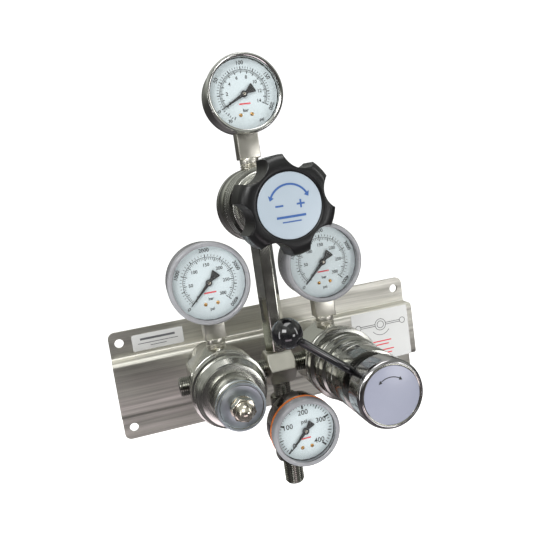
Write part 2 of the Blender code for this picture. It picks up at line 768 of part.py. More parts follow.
def make_handwheel(axis, back):
    """Six-lobed wheel: a turned blank with a rounded shoulder, scalloped and bored."""
    front = back + WHEEL_L
    web = back + WHEEL_BORE_L
    profile = [(WHEEL_BORE_R, back), (WHEEL_R - WHEEL_BEAD, back),
               (WHEEL_R, back + WHEEL_BEAD)]
    for step in range(0, 6):
        angle = math.pi / 2 * step / 5
        profile.append((WHEEL_R - WHEEL_SHOULDER + WHEEL_SHOULDER * math.cos(angle),
                        front - WHEEL_SHOULDER + WHEEL_SHOULDER * math.sin(angle)))
    seat = front - WHEEL_LABEL_D
    profile += [(WHEEL_FACE_R + WHEEL_LABEL_D, front), (WHEEL_FACE_R, seat), (0, seat),
                (0, web), (WHEEL_BORE_R, web)]
    wheel = place(turned("handwheel", profile, WHEEL_SIDES), "handwheel", "black_plastic", axis)
    for index in range(SCALLOPS):
        angle = SCALLOP_PHASE + math.tau * index / SCALLOPS
        bite = rod(f"scallop_{index}", SCALLOP_R, back - OVERCUT, front + OVERCUT, FINE)
        spot = (SCALLOP_AT * math.cos(angle), SCALLOP_AT * math.sin(angle), 0)
        cut(wheel, helper(bite, axis, spot))
    hub = rod("wheel_hub_hole", HUB_STEM_R + GAP, web - OVERCUT, web + HUB_STEM_L)
    cut(wheel, helper(hub, axis))
    return web


def make_adjusting_screw(axis, low, web):
    end = web + HUB_STEM_L - GAP
    profile = [(0, low), (STEM_TIP_R, low), (STEM_R, low + STEM_TIP_L), (STEM_R, web - GAP),
               (HUB_STEM_R, web - GAP), (HUB_STEM_R, end), (0, end)]
    place(turned("adjusting_screw", profile, FINE), "adjusting_screw", "stainless", axis)


def make_top_regulator():
    axis = axis_empty("top_axis", CENTRE_X, 0, TOP_Z)
    make_top_body(axis)
    make_diaphragm("top_diaphragm", axis, TOP_FRONT)
    make_poppet("top_poppet", axis, TOP_FRONT)
    shoulder, wall = make_top_bonnet(axis)
    button_back = wall - BUTTON_T - BUTTON_BEHIND
    plate_front = TOP_FRONT + GAP + DIAPHRAGM_T + PLATE_T
    make_spring("top_range_spring", axis, plate_front + GAP, button_back - GAP, 4)
    make_button("top_spring_button", axis, button_back)
    web = make_handwheel(axis, shoulder + WHEEL_CLEAR)
    make_adjusting_screw(axis, button_back + BUTTON_T + GAP, web)


# ---------------------------------------------------------------- pipework

def make_cross():
    """Hex bar along X with four sockets that meet in the middle."""
    spot = (CENTRE_X, -PORT_OUT, AXIS_Z)
    cross = place(hexagon("cross_block", CROSS_AF, -CROSS_L / 2, CROSS_L / 2, math.pi / 2,
                          0.0008), "cross_block", "plated", None, spot,
                  along((1, 0, 0)))
    faces = {"left": ((-1, 0, 0), CROSS_L / 2, PIPE_R), "right": ((1, 0, 0), CROSS_L / 2, PIPE_R),
             "up": ((0, 0, 1), CROSS_AF / 2, STUD_R),
             "down": ((0, 0, -1), CROSS_AF / 2, STUD_R)}
    for tag, (direction, face, radius) in faces.items():
        turn = along(direction)
        socket = rod("cross_socket_" + tag, radius + GAP, face - CROSS_ENGAGE - GAP,
                     face + SOCKET_CLEAR)
        cut(cross, helper(socket, None, spot, turn))
        way = rod("cross_way_" + tag, PASSAGE_R, -OVERCUT / 2, face, SMALL)
        cut(cross, helper(way, None, spot, turn))


def pipe_piece(name, radius, low, high, spot, direction, slot="plated"):
    place(tube(name, radius, PIPE_BORE_R, low, high), name, slot, None, spot,
          along(direction))


def make_nipples():
    """The inlets at both ends and the links from the side regulators to the cross."""
    seat = PIPE_ENGAGE
    left_face = LEFT_X - HEX_AF / 2
    pipe_piece("left_inlet_nipple", PIPE_R, -seat, INLET_SHOWS,
               (left_face, -PORT_OUT, AXIS_Z), (-1, 0, 0))
    pipe_piece("right_inlet_nipple", PIPE_R, -seat, INLET_SHOWS,
               (RIGHT_X + HEX_AF / 2, -PORT_OUT, AXIS_Z), (1, 0, 0))
    left_span = CENTRE_X - CROSS_L / 2 - (LEFT_X + HEX_AF / 2)
    pipe_piece("left_link_nipple", PIPE_R, -seat, left_span + CROSS_ENGAGE,
               (LEFT_X + HEX_AF / 2, -PORT_OUT, AXIS_Z), (1, 0, 0))
    right_span = RIGHT_X - HEX_AF / 2 - (CENTRE_X + CROSS_L / 2)
    pipe_piece("right_link_nipple", PIPE_R, -seat, right_span + CROSS_ENGAGE,
               (RIGHT_X - HEX_AF / 2, -PORT_OUT, AXIS_Z), (-1, 0, 0))


def make_column():
    """Hex column with a threaded stud at each end."""
    low = AXIS_Z + CROSS_AF / 2 + GAP
    spot = (CENTRE_X, -PORT_OUT, low)
    column = place(hexagon("riser_column", COLUMN_AF, 0, COLUMN_L, math.pi / 6, 0.0010),
                   "riser_column", "plated", None, spot)
    stud = rod("column_studs", STUD_R, -CROSS_ENGAGE, COLUMN_L + PIPE_ENGAGE)
    join(column, helper(stud, None, spot))
    bore = rod("column_bore", PASSAGE_R, -2 * CROSS_ENGAGE, COLUMN_L + 2 * PIPE_ENGAGE, SMALL)
    cut(column, helper(bore, None, spot))


def make_tee():
    """Outlet tee: threaded top, barrel with a wrench hex, front branch and threaded outlet."""
    spot = (CENTRE_X, -PORT_OUT, TEE_TOP)
    stud_top = TEE_DROP + CROSS_ENGAGE
    hex_top = -TEE_L + TEE_HEX_L
    edge = 0.0010
    profile = [(0, hex_top - OVERCUT), (TEE_R, hex_top - OVERCUT), (TEE_R, -edge),
               (TEE_R - edge, 0), (STUD_R, 0), (STUD_R, stud_top),
               (0, stud_top)]
    tee = place(turned("outlet_tee", profile), "outlet_tee", "plated", None, spot)
    grip = hexagon("tee_hex", TEE_HEX_AF, -TEE_L, hex_top, 0, 0.0008)
    join(tee, helper(grip, None, spot))
    join(tee, helper(rod("tee_outlet", PIPE_R, -TEE_L - OUTLET_L, -TEE_L + OVERCUT, FINE,
                         0.0008), None, spot))
    middle = (CENTRE_X, -PORT_OUT, BRANCH_Z)
    forward = along((0, -1, 0))
    join(tee, helper(rod("tee_branch", TEE_BRANCH_R, 0, TEE_BRANCH_L, FINE, 0.0006), None,
                     middle, forward))
    bore = rod("tee_bore", TEE_BORE_R, -TEE_L - OUTLET_L - OVERCUT, stud_top + OVERCUT, SMALL)
    cut(tee, helper(bore, None, spot))
    socket = rod("tee_socket", STUD_R + GAP, TEE_BRANCH_L - PIPE_ENGAGE - GAP,
                 TEE_BRANCH_L + OVERCUT)
    cut(tee, helper(socket, None, middle, forward))
    way = rod("tee_way", TEE_WAY_R, 0, TEE_BRANCH_L, SMALL)
    cut(tee, helper(way, None, middle, forward))


# ---------------------------------------------------------------- gauges

def make_case(name, dial, radius, depth):
    outer = radius - CASE_WALL
    inner = outer - CASE_WALL
    lip = -LIP_T - WINDOW_T - 2 * GAP
    profile = [(0, -depth), (outer - CASE_EDGE, -depth), (outer, -depth + CASE_EDGE), (outer, lip),
               (inner, lip), (inner, -depth + CASE_WALL), (0, -depth + CASE_WALL)]
    return place(turned(name + "_case", profile), name + "_case", "stainless", dial)


def make_bezel(name, dial, radius):
    lip = radius - BEZEL_LIP
    inside = radius - BEZEL_WALL
    profile = [(lip, 0), (radius - BEZEL_EDGE, 0), (radius, -BEZEL_EDGE), (radius, -BEZEL_L),
               (inside, -BEZEL_L), (inside, -LIP_T), (lip, -LIP_T)]
    place(turned(name + "_bezel", profile), name + "_bezel", "stainless", dial)


def make_window(name, dial, radius):
    edge = radius - BEZEL_WALL - GAP
    top = -LIP_T - GAP
    place(rod(name + "_window", edge, top - WINDOW_T, top, SIDES), name + "_window", "window",
          dial)


def make_dial(name, dial, radius):
    edge = radius - 2 * CASE_WALL - DIAL_CLEAR
    hole = SHAFT_R + DIAL_CLEAR
    profile = [(hole, -DIAL_BACK - DIAL_T), (edge, -DIAL_BACK - DIAL_T),
               (edge, -DIAL_BACK), (hole, -DIAL_BACK)]
    place(turned(name + "_dial", profile), name + "_dial", "dial_white", dial)


def needle_outline(length):
    """Half outline from the tip back to the wide tail, as (along, across) points."""
    return [(length, 0.0002), (0.35 * length, 0.0006), (0.0015, 0.0010),
            (-0.16 * length, 0.0008), (-0.22 * length, 0.0030), (-0.42 * length, 0.0034),
            (-0.46 * length, 0.0014)]


def make_pointer(name, dial, radius, angle):
    """Hub and shaft on the dial's centre, joined to a flat needle."""
    low = -DIAL_BACK + NEEDLE_LIFT
    high = low + HUB_L
    top = high + NEEDLE_T
    profile = [(0, low - SHAFT_L), (SHAFT_R, low - SHAFT_L), (SHAFT_R, low), (HUB_R, low),
               (HUB_R, high), (HUB_R * 0.6, top), (0, top)]
    pointer = place(turned(name + "_pointer", profile, SMALL), name + "_pointer",
                    "black_plastic", dial)
    half = needle_outline(radius * 0.70)
    bm = bmesh.new()
    around = [(a, b) for a, b in half] + [(a, -b) for a, b in reversed(half)]
    face = bm.faces.new([bm.verts.new((a, b, low + GAP)) for a, b in around])
    grown = bmesh.ops.extrude_face_region(bm, geom=[face])
    tops = [v for v in grown["geom"] if isinstance(v, bmesh.types.BMVert)]
    bmesh.ops.translate(bm, verts=tops, vec=(0, 0, NEEDLE_T))
    bmesh.ops.rotate(bm, verts=bm.verts, cent=(0, 0, 0), matrix=Matrix.Rotation(angle, 3, "Z"))
    join(pointer, helper(finish_mesh(bm, name + "_needle"), dial))


def bourdon_tube(name, middle):
    """A flat tube bent to an open ring, rising from the socket at the bottom."""
    bm = bmesh.new()
    steps = 18
    rings = []
    for index in range(steps + 1):
        angle = TUBE_START + TUBE_SWEEP * index / steps
        rings.append([bm.verts.new((r * math.cos(angle), r * math.sin(angle), z))
                      for r, z in ((TUBE_R, middle - TUBE_T / 2),
                                   (TUBE_R + TUBE_W, middle - TUBE_T / 2),
                                   (TUBE_R + TUBE_W, middle + TUBE_T / 2),
                                   (TUBE_R, middle + TUBE_T / 2))])
    for a, b in zip(rings, rings[1:]):
        for k in range(4):
            bm.faces.new((a[k], a[(k + 1) % 4], b[(k + 1) % 4], b[k]))
    bm.faces.new(rings[0])
    bm.faces.new(rings[-1])
    return finish_mesh(bm, name)


def make_side_stem(name, dial, radius, stem_l):
    """Square stem under the case, its pipe thread below and the Bourdon tube inside."""
    middle = -FACE_AHEAD
    block_low = -radius - stem_l
    inner_top = -TUBE_R + OVERCUT
    shape = box(name + "_stem", (-STEM_W / 2, block_low, middle - STEM_T / 2),
                (STEM_W / 2, inner_top, middle + STEM_T / 2))
    stem = place(shape, name + "_stem", "plated", dial)
    down = along((0, -1, 0))
    thread = rod(name + "_thread", PIPE_R, -block_low - OVERCUT,
                 -block_low + THREAD_SHOWS + PIPE_ENGAGE, FINE)
    join(stem, helper(thread, dial, (0, 0, middle), down))
    join(stem, helper(bourdon_tube(name + "_tube", middle), dial))
    return stem


def open_case_for_stem(case, dial, radius):
    middle = -FACE_AHEAD
    notch = box(case.name + "_notch",
                (-STEM_W / 2 - GAP, -radius - OVERCUT, middle - STEM_T / 2 - GAP),
                (STEM_W / 2 + GAP, -radius * 0.8, middle + STEM_T / 2 + GAP))
    cut(case, helper(notch, dial))


def make_upright_gauge(name, x, port_z, radius, stem_l, angle):
    """A gauge standing on a port, its stem down."""
    z = port_z + THREAD_SHOWS + stem_l + radius
    dial = axis_empty(name + "_axis", x, PORT_OUT + FACE_AHEAD, z)
    case = make_case(name, dial, radius, GAUGE_DEPTH)
    open_case_for_stem(case, dial, radius)
    make_side_stem(name, dial, radius, stem_l)
    make_gauge_front(name, dial, radius, angle)


def make_gauge_front(name, dial, radius, angle):
    make_bezel(name, dial, radius)
    make_window(name, dial, radius)
    make_dial(name, dial, radius)
    make_pointer(name, dial, radius, angle)


def make_low_gauge():
    """A back-connected gauge on the branch of the outlet tee."""
    name = "low_gauge"
    radius = LOW_GAUGE_R
    back = PORT_OUT + TEE_BRANCH_L + GAP + LOW_STEM_L
    dial = axis_empty(name + "_axis", CENTRE_X, back + LOW_GAUGE_DEPTH, BRANCH_Z)
    case = make_case(name, dial, radius, LOW_GAUGE_DEPTH)
    hole = rod("low_case_hole", STUD_R + GAP, -LOW_GAUGE_DEPTH - OVERCUT,
               -LOW_GAUGE_DEPTH + 2 * CASE_EDGE)
    cut(case, helper(hole, dial))
    stem = place(hexagon(name + "_stem", STEM_W, -LOW_GAUGE_DEPTH - LOW_STEM_L,
                         -LOW_GAUGE_DEPTH - GAP, 0, 0.0006), name + "_stem", "plated", dial)
    thread = rod("low_gauge_thread", STUD_R,
                 -LOW_GAUGE_DEPTH - LOW_STEM_L - PIPE_ENGAGE, -LOW_GAUGE_DEPTH + 0.006)
    join(stem, helper(thread, dial))
    middle = -LOW_GAUGE_DEPTH + LOW_TUBE_OUT
    half = LOW_BLOCK_HALF
    inset = OVERCUT / 2
    block = box("low_gauge_block", (-half, -TUBE_R - TUBE_W + inset, middle - TUBE_T / 2),
                (half, half, middle + TUBE_T / 2 - inset))
    join(stem, helper(block, dial))
    join(stem, helper(bourdon_tube("low_gauge_tube", middle), dial))
    make_gauge_front(name, dial, radius, ZERO_ANGLE)


def make_gauges():
    side_port = AXIS_Z + PORT_FACE
    make_upright_gauge("left_gauge", LEFT_X, side_port, SIDE_GAUGE_R, SIDE_STEM_L, ZERO_ANGLE)
    make_upright_gauge("right_gauge", RIGHT_X, side_port, SIDE_GAUGE_R, SIDE_STEM_L,
                       ZERO_ANGLE)
    make_upright_gauge("top_gauge", CENTRE_X, TOP_Z + BODY_R, TOP_GAUGE_R, TOP_STEM_L,
                       TOP_ZERO_ANGLE)
    make_low_gauge()


def main():
    clear_scene()
    make_bracket()
    make_left_regulator()
    make_right_regulator()
    make_top_regulator()
    make_cross()
    make_nipples()
    make_column()
    make_tee()
    make_gauges()


main()
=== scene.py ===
"""Looks of a two-bank gas changeover manifold: fine surfaces, dial faces, labels, finishes and a
studio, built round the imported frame.  Metres, -Y towards the viewer, +Z up.

Turned pieces are given as corners of (radius, distance out from the wall), and each is spun
about the axis of the regulator or gauge that it belongs to."""

import math

import bmesh
import bpy
from bpy.props import FloatProperty, FloatVectorProperty, IntProperty, PointerProperty
from mathutils import Matrix, Vector


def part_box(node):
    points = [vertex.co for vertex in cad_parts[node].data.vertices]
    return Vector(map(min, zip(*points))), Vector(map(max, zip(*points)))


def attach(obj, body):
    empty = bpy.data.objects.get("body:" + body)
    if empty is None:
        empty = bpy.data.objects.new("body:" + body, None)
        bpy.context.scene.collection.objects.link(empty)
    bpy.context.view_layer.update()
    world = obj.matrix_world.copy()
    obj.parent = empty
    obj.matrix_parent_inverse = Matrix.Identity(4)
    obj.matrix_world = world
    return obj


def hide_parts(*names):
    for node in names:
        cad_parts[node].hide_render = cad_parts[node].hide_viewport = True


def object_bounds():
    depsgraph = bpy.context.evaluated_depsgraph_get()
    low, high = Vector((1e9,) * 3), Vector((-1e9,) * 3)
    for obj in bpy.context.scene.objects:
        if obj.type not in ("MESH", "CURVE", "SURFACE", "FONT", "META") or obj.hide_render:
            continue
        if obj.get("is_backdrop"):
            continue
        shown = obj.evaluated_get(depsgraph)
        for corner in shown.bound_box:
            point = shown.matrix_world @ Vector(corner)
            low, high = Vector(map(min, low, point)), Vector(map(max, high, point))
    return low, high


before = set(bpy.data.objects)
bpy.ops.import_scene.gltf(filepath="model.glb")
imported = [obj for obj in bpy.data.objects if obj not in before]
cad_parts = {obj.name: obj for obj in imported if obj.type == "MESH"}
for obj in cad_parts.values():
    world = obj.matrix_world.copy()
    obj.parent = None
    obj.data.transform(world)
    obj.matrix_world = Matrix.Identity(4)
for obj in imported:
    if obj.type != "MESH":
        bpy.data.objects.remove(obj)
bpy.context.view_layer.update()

bl_info = {
    "name": "Changeover manifold looks",
    "version": (1, 0, 0),
    "blender": (4, 5, 0),
    "location": "3D View > Sidebar > Manifold",
    "description": "Fine pieces, finishes and studio of a gas changeover manifold",
    "category": "Object",
}

FRONT = (0, -1, 0)
UP = (0, 0, 1)
INF = float("inf")
MERGE = 1e-6
SHARP = math.radians(32)

# Small edges, and the fine line work on dials and labels
EASE = 0.00035
FINE_EASE = 0.0003
CRISP_EASE = 0.0001
INK = 0.00003
INK_LIFT = 0.00006
BOLDER = 0.00005
BLACK_INK = ("black_ink", (0.02, 0.02, 0.022))
RED_INK = ("red_ink", (0.62, 0.03, 0.04))

# Bracket
SHEET = 0.0019
BEND_R = 0.0014
PLATE_H = 0.0422
CORNER_R = 0.0050
HOLE_R = 0.00335
BOLT_HOLE_R = 0.0043
HOLE_FROM_END = 0.0075
HOLE_FROM_EDGE = 0.0086

# Label corners as (x, z)
CARD_T = 0.00022
LEFT_CARD = ((-0.1027, -0.0084), (-0.0645, 0.0040))
RIGHT_CARD = ((0.0662, -0.0530), (0.1150, -0.0120))

# Regulators
BOSS_R = 0.0160
RING_R = 0.02435
FLANGE_R = 0.0223
RING_AHEAD = 0.0011
RING_GROOVE_D = 0.0007
FLANGE_L = RING_AHEAD + 0.0100
HOUSE_R = 0.0125
LEFT_STEP_R = 0.0228
LEFT_NECK_R = 0.0200
CAP_R = 0.0151
CAP_BORE_R = 0.0122
CAP_WALL = 0.0060
SCREW_R = 0.0042
NUT_AF = 0.0130
NUT_TURN = math.radians(-48)
DOME_R = 0.0053
TOP_BODY_R = 0.0245
TOP_HOUSE_L = 0.0290
TOP_STAGE_R = 0.0202
TOP_STAGE_L = 0.0169
TOP_NECK_R = 0.0110
GAP = 0.0003
ARROW_REACH = 0.20
BODY_BACK = 0.0479
HEX_AF = 0.0424
PORT_FACE = 0.0225

# Drum and selector
DRUM_STEP_R = 0.0216
DRUM_STEP_L = 0.0151
DRUM_WAIST_R = 0.0199
DRUM_WAIST_L = 0.0116
DRUM_R = 0.02025
DRUM_WALL = 0.0039
PIN_HOLE_R = 0.0018
PIN_OFFSET = 0.0092
END_LABEL_R = 0.0170
COLLAR_R = 0.0160
LEVER_R = 0.0025
BALL_R = 0.0090
BALL_STEPS = 40

# Pipework
PIPE_R = 0.0066
PIPE_BORE_R = 0.0035
COLUMN_AF = 0.0132
STUD_R = 0.0052
TEE_BORE_R = 0.0027
TEE_R = 0.0092
TEE_DROP = 0.0092
TEE_L = 0.0465
TEE_HEX_L = 0.0110
TEE_HEX_AF = 0.0196
BRANCH_R = 0.0085
BRANCH_ENGAGE = 0.0060

# Pipe threads
PITCH = 0.00141
THREAD_D = 0.00090
THREAD_ROWS = 8

# Handwheel
WHEEL_R = 0.0286
WHEEL_BEAD = 0.0010
WHEEL_SHOULDER = 0.0065
WHEEL_BORE_R = 0.0135
WHEEL_BORE_L = 0.0160
WHEEL_FACE_R = 0.0188
SCALLOP_R = 0.0102
SCALLOP_AT = 0.0315
SCALLOP_PHASE = math.radians(9.0)
SCALLOP_BLEND = 0.0024

# Gauges
DIAL_SWEEP = math.radians(270)
ZERO = math.radians(225)
TOP_ZERO = math.radians(208)
BEZEL_LIP = 0.0032
STEM_W = 0.0143
STEM_T = 0.0110
SOCKET_THREAD_L = 0.0095
SOCKET_NECK_L = 0.0024
BEZEL_WALL = 0.0012
CASE_WALL = 0.0012
PIN_R = 0.0012
STOP_R = 0.0004
NEEDLE_LIFT = 0.0009
NEEDLE_SHARE = 0.70
HUB_R = 0.0022
GAUGES = ("left_gauge", "right_gauge", "top_gauge", "low_gauge")


# ---------------------------------------------------------------- places on the frame

def middle(node):
    low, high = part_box(node)
    return (low + high) / 2


def outs(node):
    """Distances out from the wall of a node's back and front."""
    low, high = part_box(node)
    return -high.y, -low.y


def stand_at(spot, toward=FRONT):
    """The matrix that stands local +Z on spot, pointing this way."""
    turn = Vector(toward).to_track_quat("Z", "Y").to_matrix().to_4x4()
    return Matrix.Translation(spot) @ turn


def axis_stand(node):
    """Stands on the wall under a node's axis, so heights are distances out."""
    spot = middle(node)
    return stand_at((spot.x, 0, spot.z))


# ---------------------------------------------------------------- mesh tools

def looks():
    return bpy.context.scene.manifold_looks


def eased(corners, size=EASE, closed=False):
    """The profile with each corner rounded by a short curve."""
    points = [Vector(corner) for corner in corners]
    result = []
    for index, point in enumerate(points):
        if not closed and index in (0, len(points) - 1):
            result.append(point)
            continue
        before = points[index - 1] - point
        after = points[(index + 1) % len(points)] - point
        reach = min(size, 0.45 * before.length, 0.45 * after.length)
        start = point + before.normalized() * reach
        end = point + after.normalized() * reach
        for share in (0.0, 0.5, 1.0):
            result.append(start.lerp(point, share).lerp(point.lerp(end, share), share))
    return result


def loft(bm, rings, stand, sides=None, closed=False):
    """A skin over (height, radius) rings about local Z; a radius may depend on the angle."""
    sides = sides or looks().round_sides
    loops = []
    for height, radius in rings:
        loop = []
        for index in range(sides):
            angle = math.tau * index / sides
            reach = radius(angle) if callable(radius) else radius
            point = Vector((reach * math.cos(angle), reach * math.sin(angle), height))
            loop.append(bm.verts.new(stand @ point))
        loops.append(loop)
    following = loops[1:] + (loops[:1] if closed else [])
    for near, far in zip(loops, following):
        for index in range(sides):
            after = (index + 1) % sides
            bm.faces.new((near[index], near[after], far[after], far[index]))
    if not closed:
        for loop, (height, radius) in ((loops[0], rings[0]), (loops[-1], rings[-1])):
            if callable(radius) or radius > 0:
                bm.faces.new(loop)


def turn(bm, corners, stand, ease=EASE, closed=False, sides=None):
    rings = [(height, radius) for radius, height in eased(corners, ease, closed)]
    loft(bm, rings, stand, sides, closed)


def block(bm, low, high, ease):
    """A box between two corners, its edges rounded."""
    made = bmesh.ops.create_cube(bm, size=1.0)["verts"]
    for vert in made:
        vert.co = [(a + b) / 2 + c * (b - a) for a, b, c in zip(low, high, vert.co)]
    edges = list({edge for vert in made for edge in vert.link_edges})
    bmesh.ops.bevel(bm, geom=edges, offset=ease, segments=3, profile=0.5, affect="EDGES")


def plate(bm, outline, low, high, stand):
    """An outline of (x, y) points made solid between two heights."""
    base = [bm.verts.new(stand @ Vector((x, y, low))) for x, y in outline]
    lid = [bm.verts.new(stand @ Vector((x, y, high))) for x, y in outline]
    bm.faces.new(base)
    bm.faces.new(lid)
    for index in range(len(base)):
        after = (index + 1) % len(base)
        bm.faces.new((base[index], base[after], lid[after], lid[index]))


def arc(radius, start, end, steps, centre=(0, 0)):
    return [(centre[0] + radius * math.cos(start + (end - start) * k / steps),
             centre[1] + radius * math.sin(start + (end - start) * k / steps))
            for k in range(steps + 1)]


def stroke(bm, points, width, stand, high=2 * INK):
    """A line of even width through (x, y) points, as a strip of quads."""
    rows = []
    for index, point in enumerate(points):
        before = Vector(points[max(index - 1, 0)])
        after = Vector(points[min(index + 1, len(points) - 1)])
        way = (after - before).normalized()
        across = Vector((-way.y, way.x)) * width / 2
        left, right = Vector(point) + across, Vector(point) - across
        rows.append([bm.verts.new(stand @ Vector((*spot, height))) for spot, height in
                     ((left, 0), (left, high), (right, high), (right, 0))])
    for near, far in zip(rows, rows[1:]):
        for k in range(4):
            bm.faces.new((near[k], near[(k + 1) % 4], far[(k + 1) % 4], far[k]))
    bm.faces.new(rows[0])
    bm.faces.new(rows[-1])


def bars(bm, face, rows):
    """Level lines given as (half length, height, width)."""
    for half, y, width in rows:
        stroke(bm, [(-half, y), (half, y)], width, face)


def figures(bm, words, size, spot, stand, lean=0.0):
    """Lettering, centred on a local (x, y) spot and leaning anticlockwise."""
    curve = bpy.data.curves.new("figures", "FONT")
    curve.body = words
    curve.size = size
    curve.extrude = INK
    curve.offset = BOLDER
    curve.align_x = "CENTER"
    curve.align_y = "CENTER"
    curve.resolution_u = 3
    carrier = bpy.data.objects.new("figures", curve)
    bpy.context.scene.collection.objects.link(carrier)
    depsgraph = bpy.context.evaluated_depsgraph_get()
    mesh = bpy.data.meshes.new_from_object(carrier.evaluated_get(depsgraph))
    mesh.transform(stand @ Matrix.Translation((*spot, INK)) @ Matrix.Rotation(lean, 4, "Z"))
    bm.from_mesh(mesh)
    bpy.data.objects.remove(carrier)
    bpy.data.meshes.remove(mesh)
    bpy.data.curves.remove(curve)


def finish_piece(bm, name, finish, body="manifold", replaced=(), sharp=SHARP):
    bmesh.ops.remove_doubles(bm, verts=bm.verts, dist=MERGE)
    bmesh.ops.recalc_face_normals(bm, faces=bm.faces)
    mesh = bpy.data.meshes.new(name)
    bm.to_mesh(mesh)
    bm.free()
    mesh.shade_smooth()
    mesh.set_sharp_from_angle(angle=sharp)
    mesh.materials.append(finish)
    piece = bpy.data.objects.new(name, mesh)
    bpy.context.scene.collection.objects.link(piece)
    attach(piece, body)
    if replaced:
        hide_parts(*replaced)
    return piece


def spun(name, finish, stand, corners, ease=FINE_EASE, closed=False, sides=None,
         body="manifold", replaced=()):
    """A piece made of one turned profile."""
    bm = bmesh.new()
    turn(bm, corners, stand, ease, closed, sides)
    return finish_piece(bm, name, finish, body, replaced)


def bored(piece, cutters, operation="DIFFERENCE"):
    """Cuts the cutters' meshes out of the piece, or keeps what is inside them."""
    for mesh in cutters:
        tool = bpy.data.objects.new("cutter", mesh)
        bpy.context.scene.collection.objects.link(tool)
        step = piece.modifiers.new("bore", "BOOLEAN")
        step.operation = operation
        step.object = tool
        step.solver = "EXACT"
        depsgraph = bpy.context.evaluated_depsgraph_get()
        made = bpy.data.meshes.new_from_object(piece.evaluated_get(depsgraph))
        piece.modifiers.clear()
        old = piece.data
        made.name = old.name
        piece.data = made
        bpy.data.meshes.remove(old)
        bpy.data.objects.remove(tool)
        bpy.data.meshes.remove(mesh)
    piece.data.set_sharp_from_angle(angle=SHARP)


def loose_mesh(bm, name):
    """The mesh of a bmesh, with no object."""
    bmesh.ops.recalc_face_normals(bm, faces=bm.faces)
    mesh = bpy.data.meshes.new(name)
    bm.to_mesh(mesh)
    bm.free()
    return mesh


def drill(radius, low, high, stand, sides=48):
    """A cylinder's mesh to cut with."""
    bm = bmesh.new()
    loft(bm, [(low, radius), (high, radius)], stand, sides)
    return loose_mesh(bm, "drill")


# ---------------------------------------------------------------- radius rules

def hex_radius(across, flat_at=0.0, corner=0.988):
    """Radius of a hexagon with slightly broken corners, one flat facing flat_at."""
    half = across / 2
    tip = corner * half / math.cos(math.pi / 6)

    def radius(angle):
        off = (angle - flat_at + math.pi / 6) % (math.pi / 3) - math.pi / 6
        return min(half / math.cos(off), tip)
    return radius


def within(rule, limit):
    """The smaller of a radius rule and a plain limit."""
    return lambda angle: min(rule(angle), limit)


def hex_rings(across, low, high, flat_at=0.0, steps=5):
    """Rings of a hexagon whose two ends are chamfered in a lathe."""
    rule = hex_radius(across, flat_at)
    face = across / 2 * 0.965
    reach = (across / 2 / math.cos(math.pi / 6) - face) * 0.6
    near = [(low + reach * k / steps, within(rule, face + reach / 0.6 * k / steps))
            for k in range(steps + 1)]
    far = [(high - (height - low), radius) for height, radius in reversed(near)]
    return near + far


def thread_rings(radius, low, high, pitch=PITCH, depth=THREAD_D):
    """Rings of a right-hand thread that runs out at both ends."""
    rows = max(8, round((high - low) / pitch * THREAD_ROWS))

    def at(height, share):
        def reach(angle):
            turns = (height / pitch - angle / math.tau) % 1.0
            crest = min(1.0, 1.35 * (1.0 - abs(2 * turns - 1)))
            return radius - depth * (1.0 - crest * share)
        return reach
    return [(low + (high - low) * k / rows,
             at(low + (high - low) * k / rows, min(1.0, k / 7, (rows - k) / 7)))
            for k in range(rows + 1)]


def smooth_min(a, b, blend):
    if math.isinf(b):
        return a
    share = max(blend - abs(a - b), 0.0) / blend
    return min(a, b) - share * share * blend / 4


def lobed(blank):
    """Radius of the scalloped handwheel where its blank has this radius."""
    step = math.pi / 3

    def radius(angle):
        off = (angle - SCALLOP_PHASE + step / 2) % step - step / 2
        across = SCALLOP_AT * math.sin(off)
        if abs(across) >= SCALLOP_R:
            return smooth_min(blank, INF, SCALLOP_BLEND)
        bite = SCALLOP_AT * math.cos(off) - math.sqrt(SCALLOP_R ** 2 - across ** 2)
        return smooth_min(blank, bite, SCALLOP_BLEND)
    return radius


# ---------------------------------------------------------------- finishes

class Nodes:
    """Short calls for the node work of a material or of the world."""

    def __init__(self, tree):
        self.tree = tree

    def node(self, kind, **settings):
        made = self.tree.nodes.new("ShaderNode" + kind)
        for key, value in settings.items():
            setattr(made, key, value)
        return made

    def link(self, source, target):
        self.tree.links.new(source, target)

    def spread(self, value, low, high, start=0.3, end=0.7):
        """A number between low and high as the value goes from start to end."""
        made = self.node("MapRange", clamp=True)
        for socket, number in (("From Min", start), ("From Max", end), ("To Min", low),
                               ("To Max", high)):
            made.inputs[socket].default_value = number
        self.link(value, made.inputs["Value"])
        return made.outputs["Result"]

    def noise(self, scale, vector=None, detail=3.0, roughness=0.55):
        made = self.node("TexNoise")
        made.inputs["Scale"].default_value = scale
        made.inputs["Detail"].default_value = detail
        made.inputs["Roughness"].default_value = roughness
        self.link(vector or self.coords, made.inputs["Vector"])
        return made.outputs["Fac"]


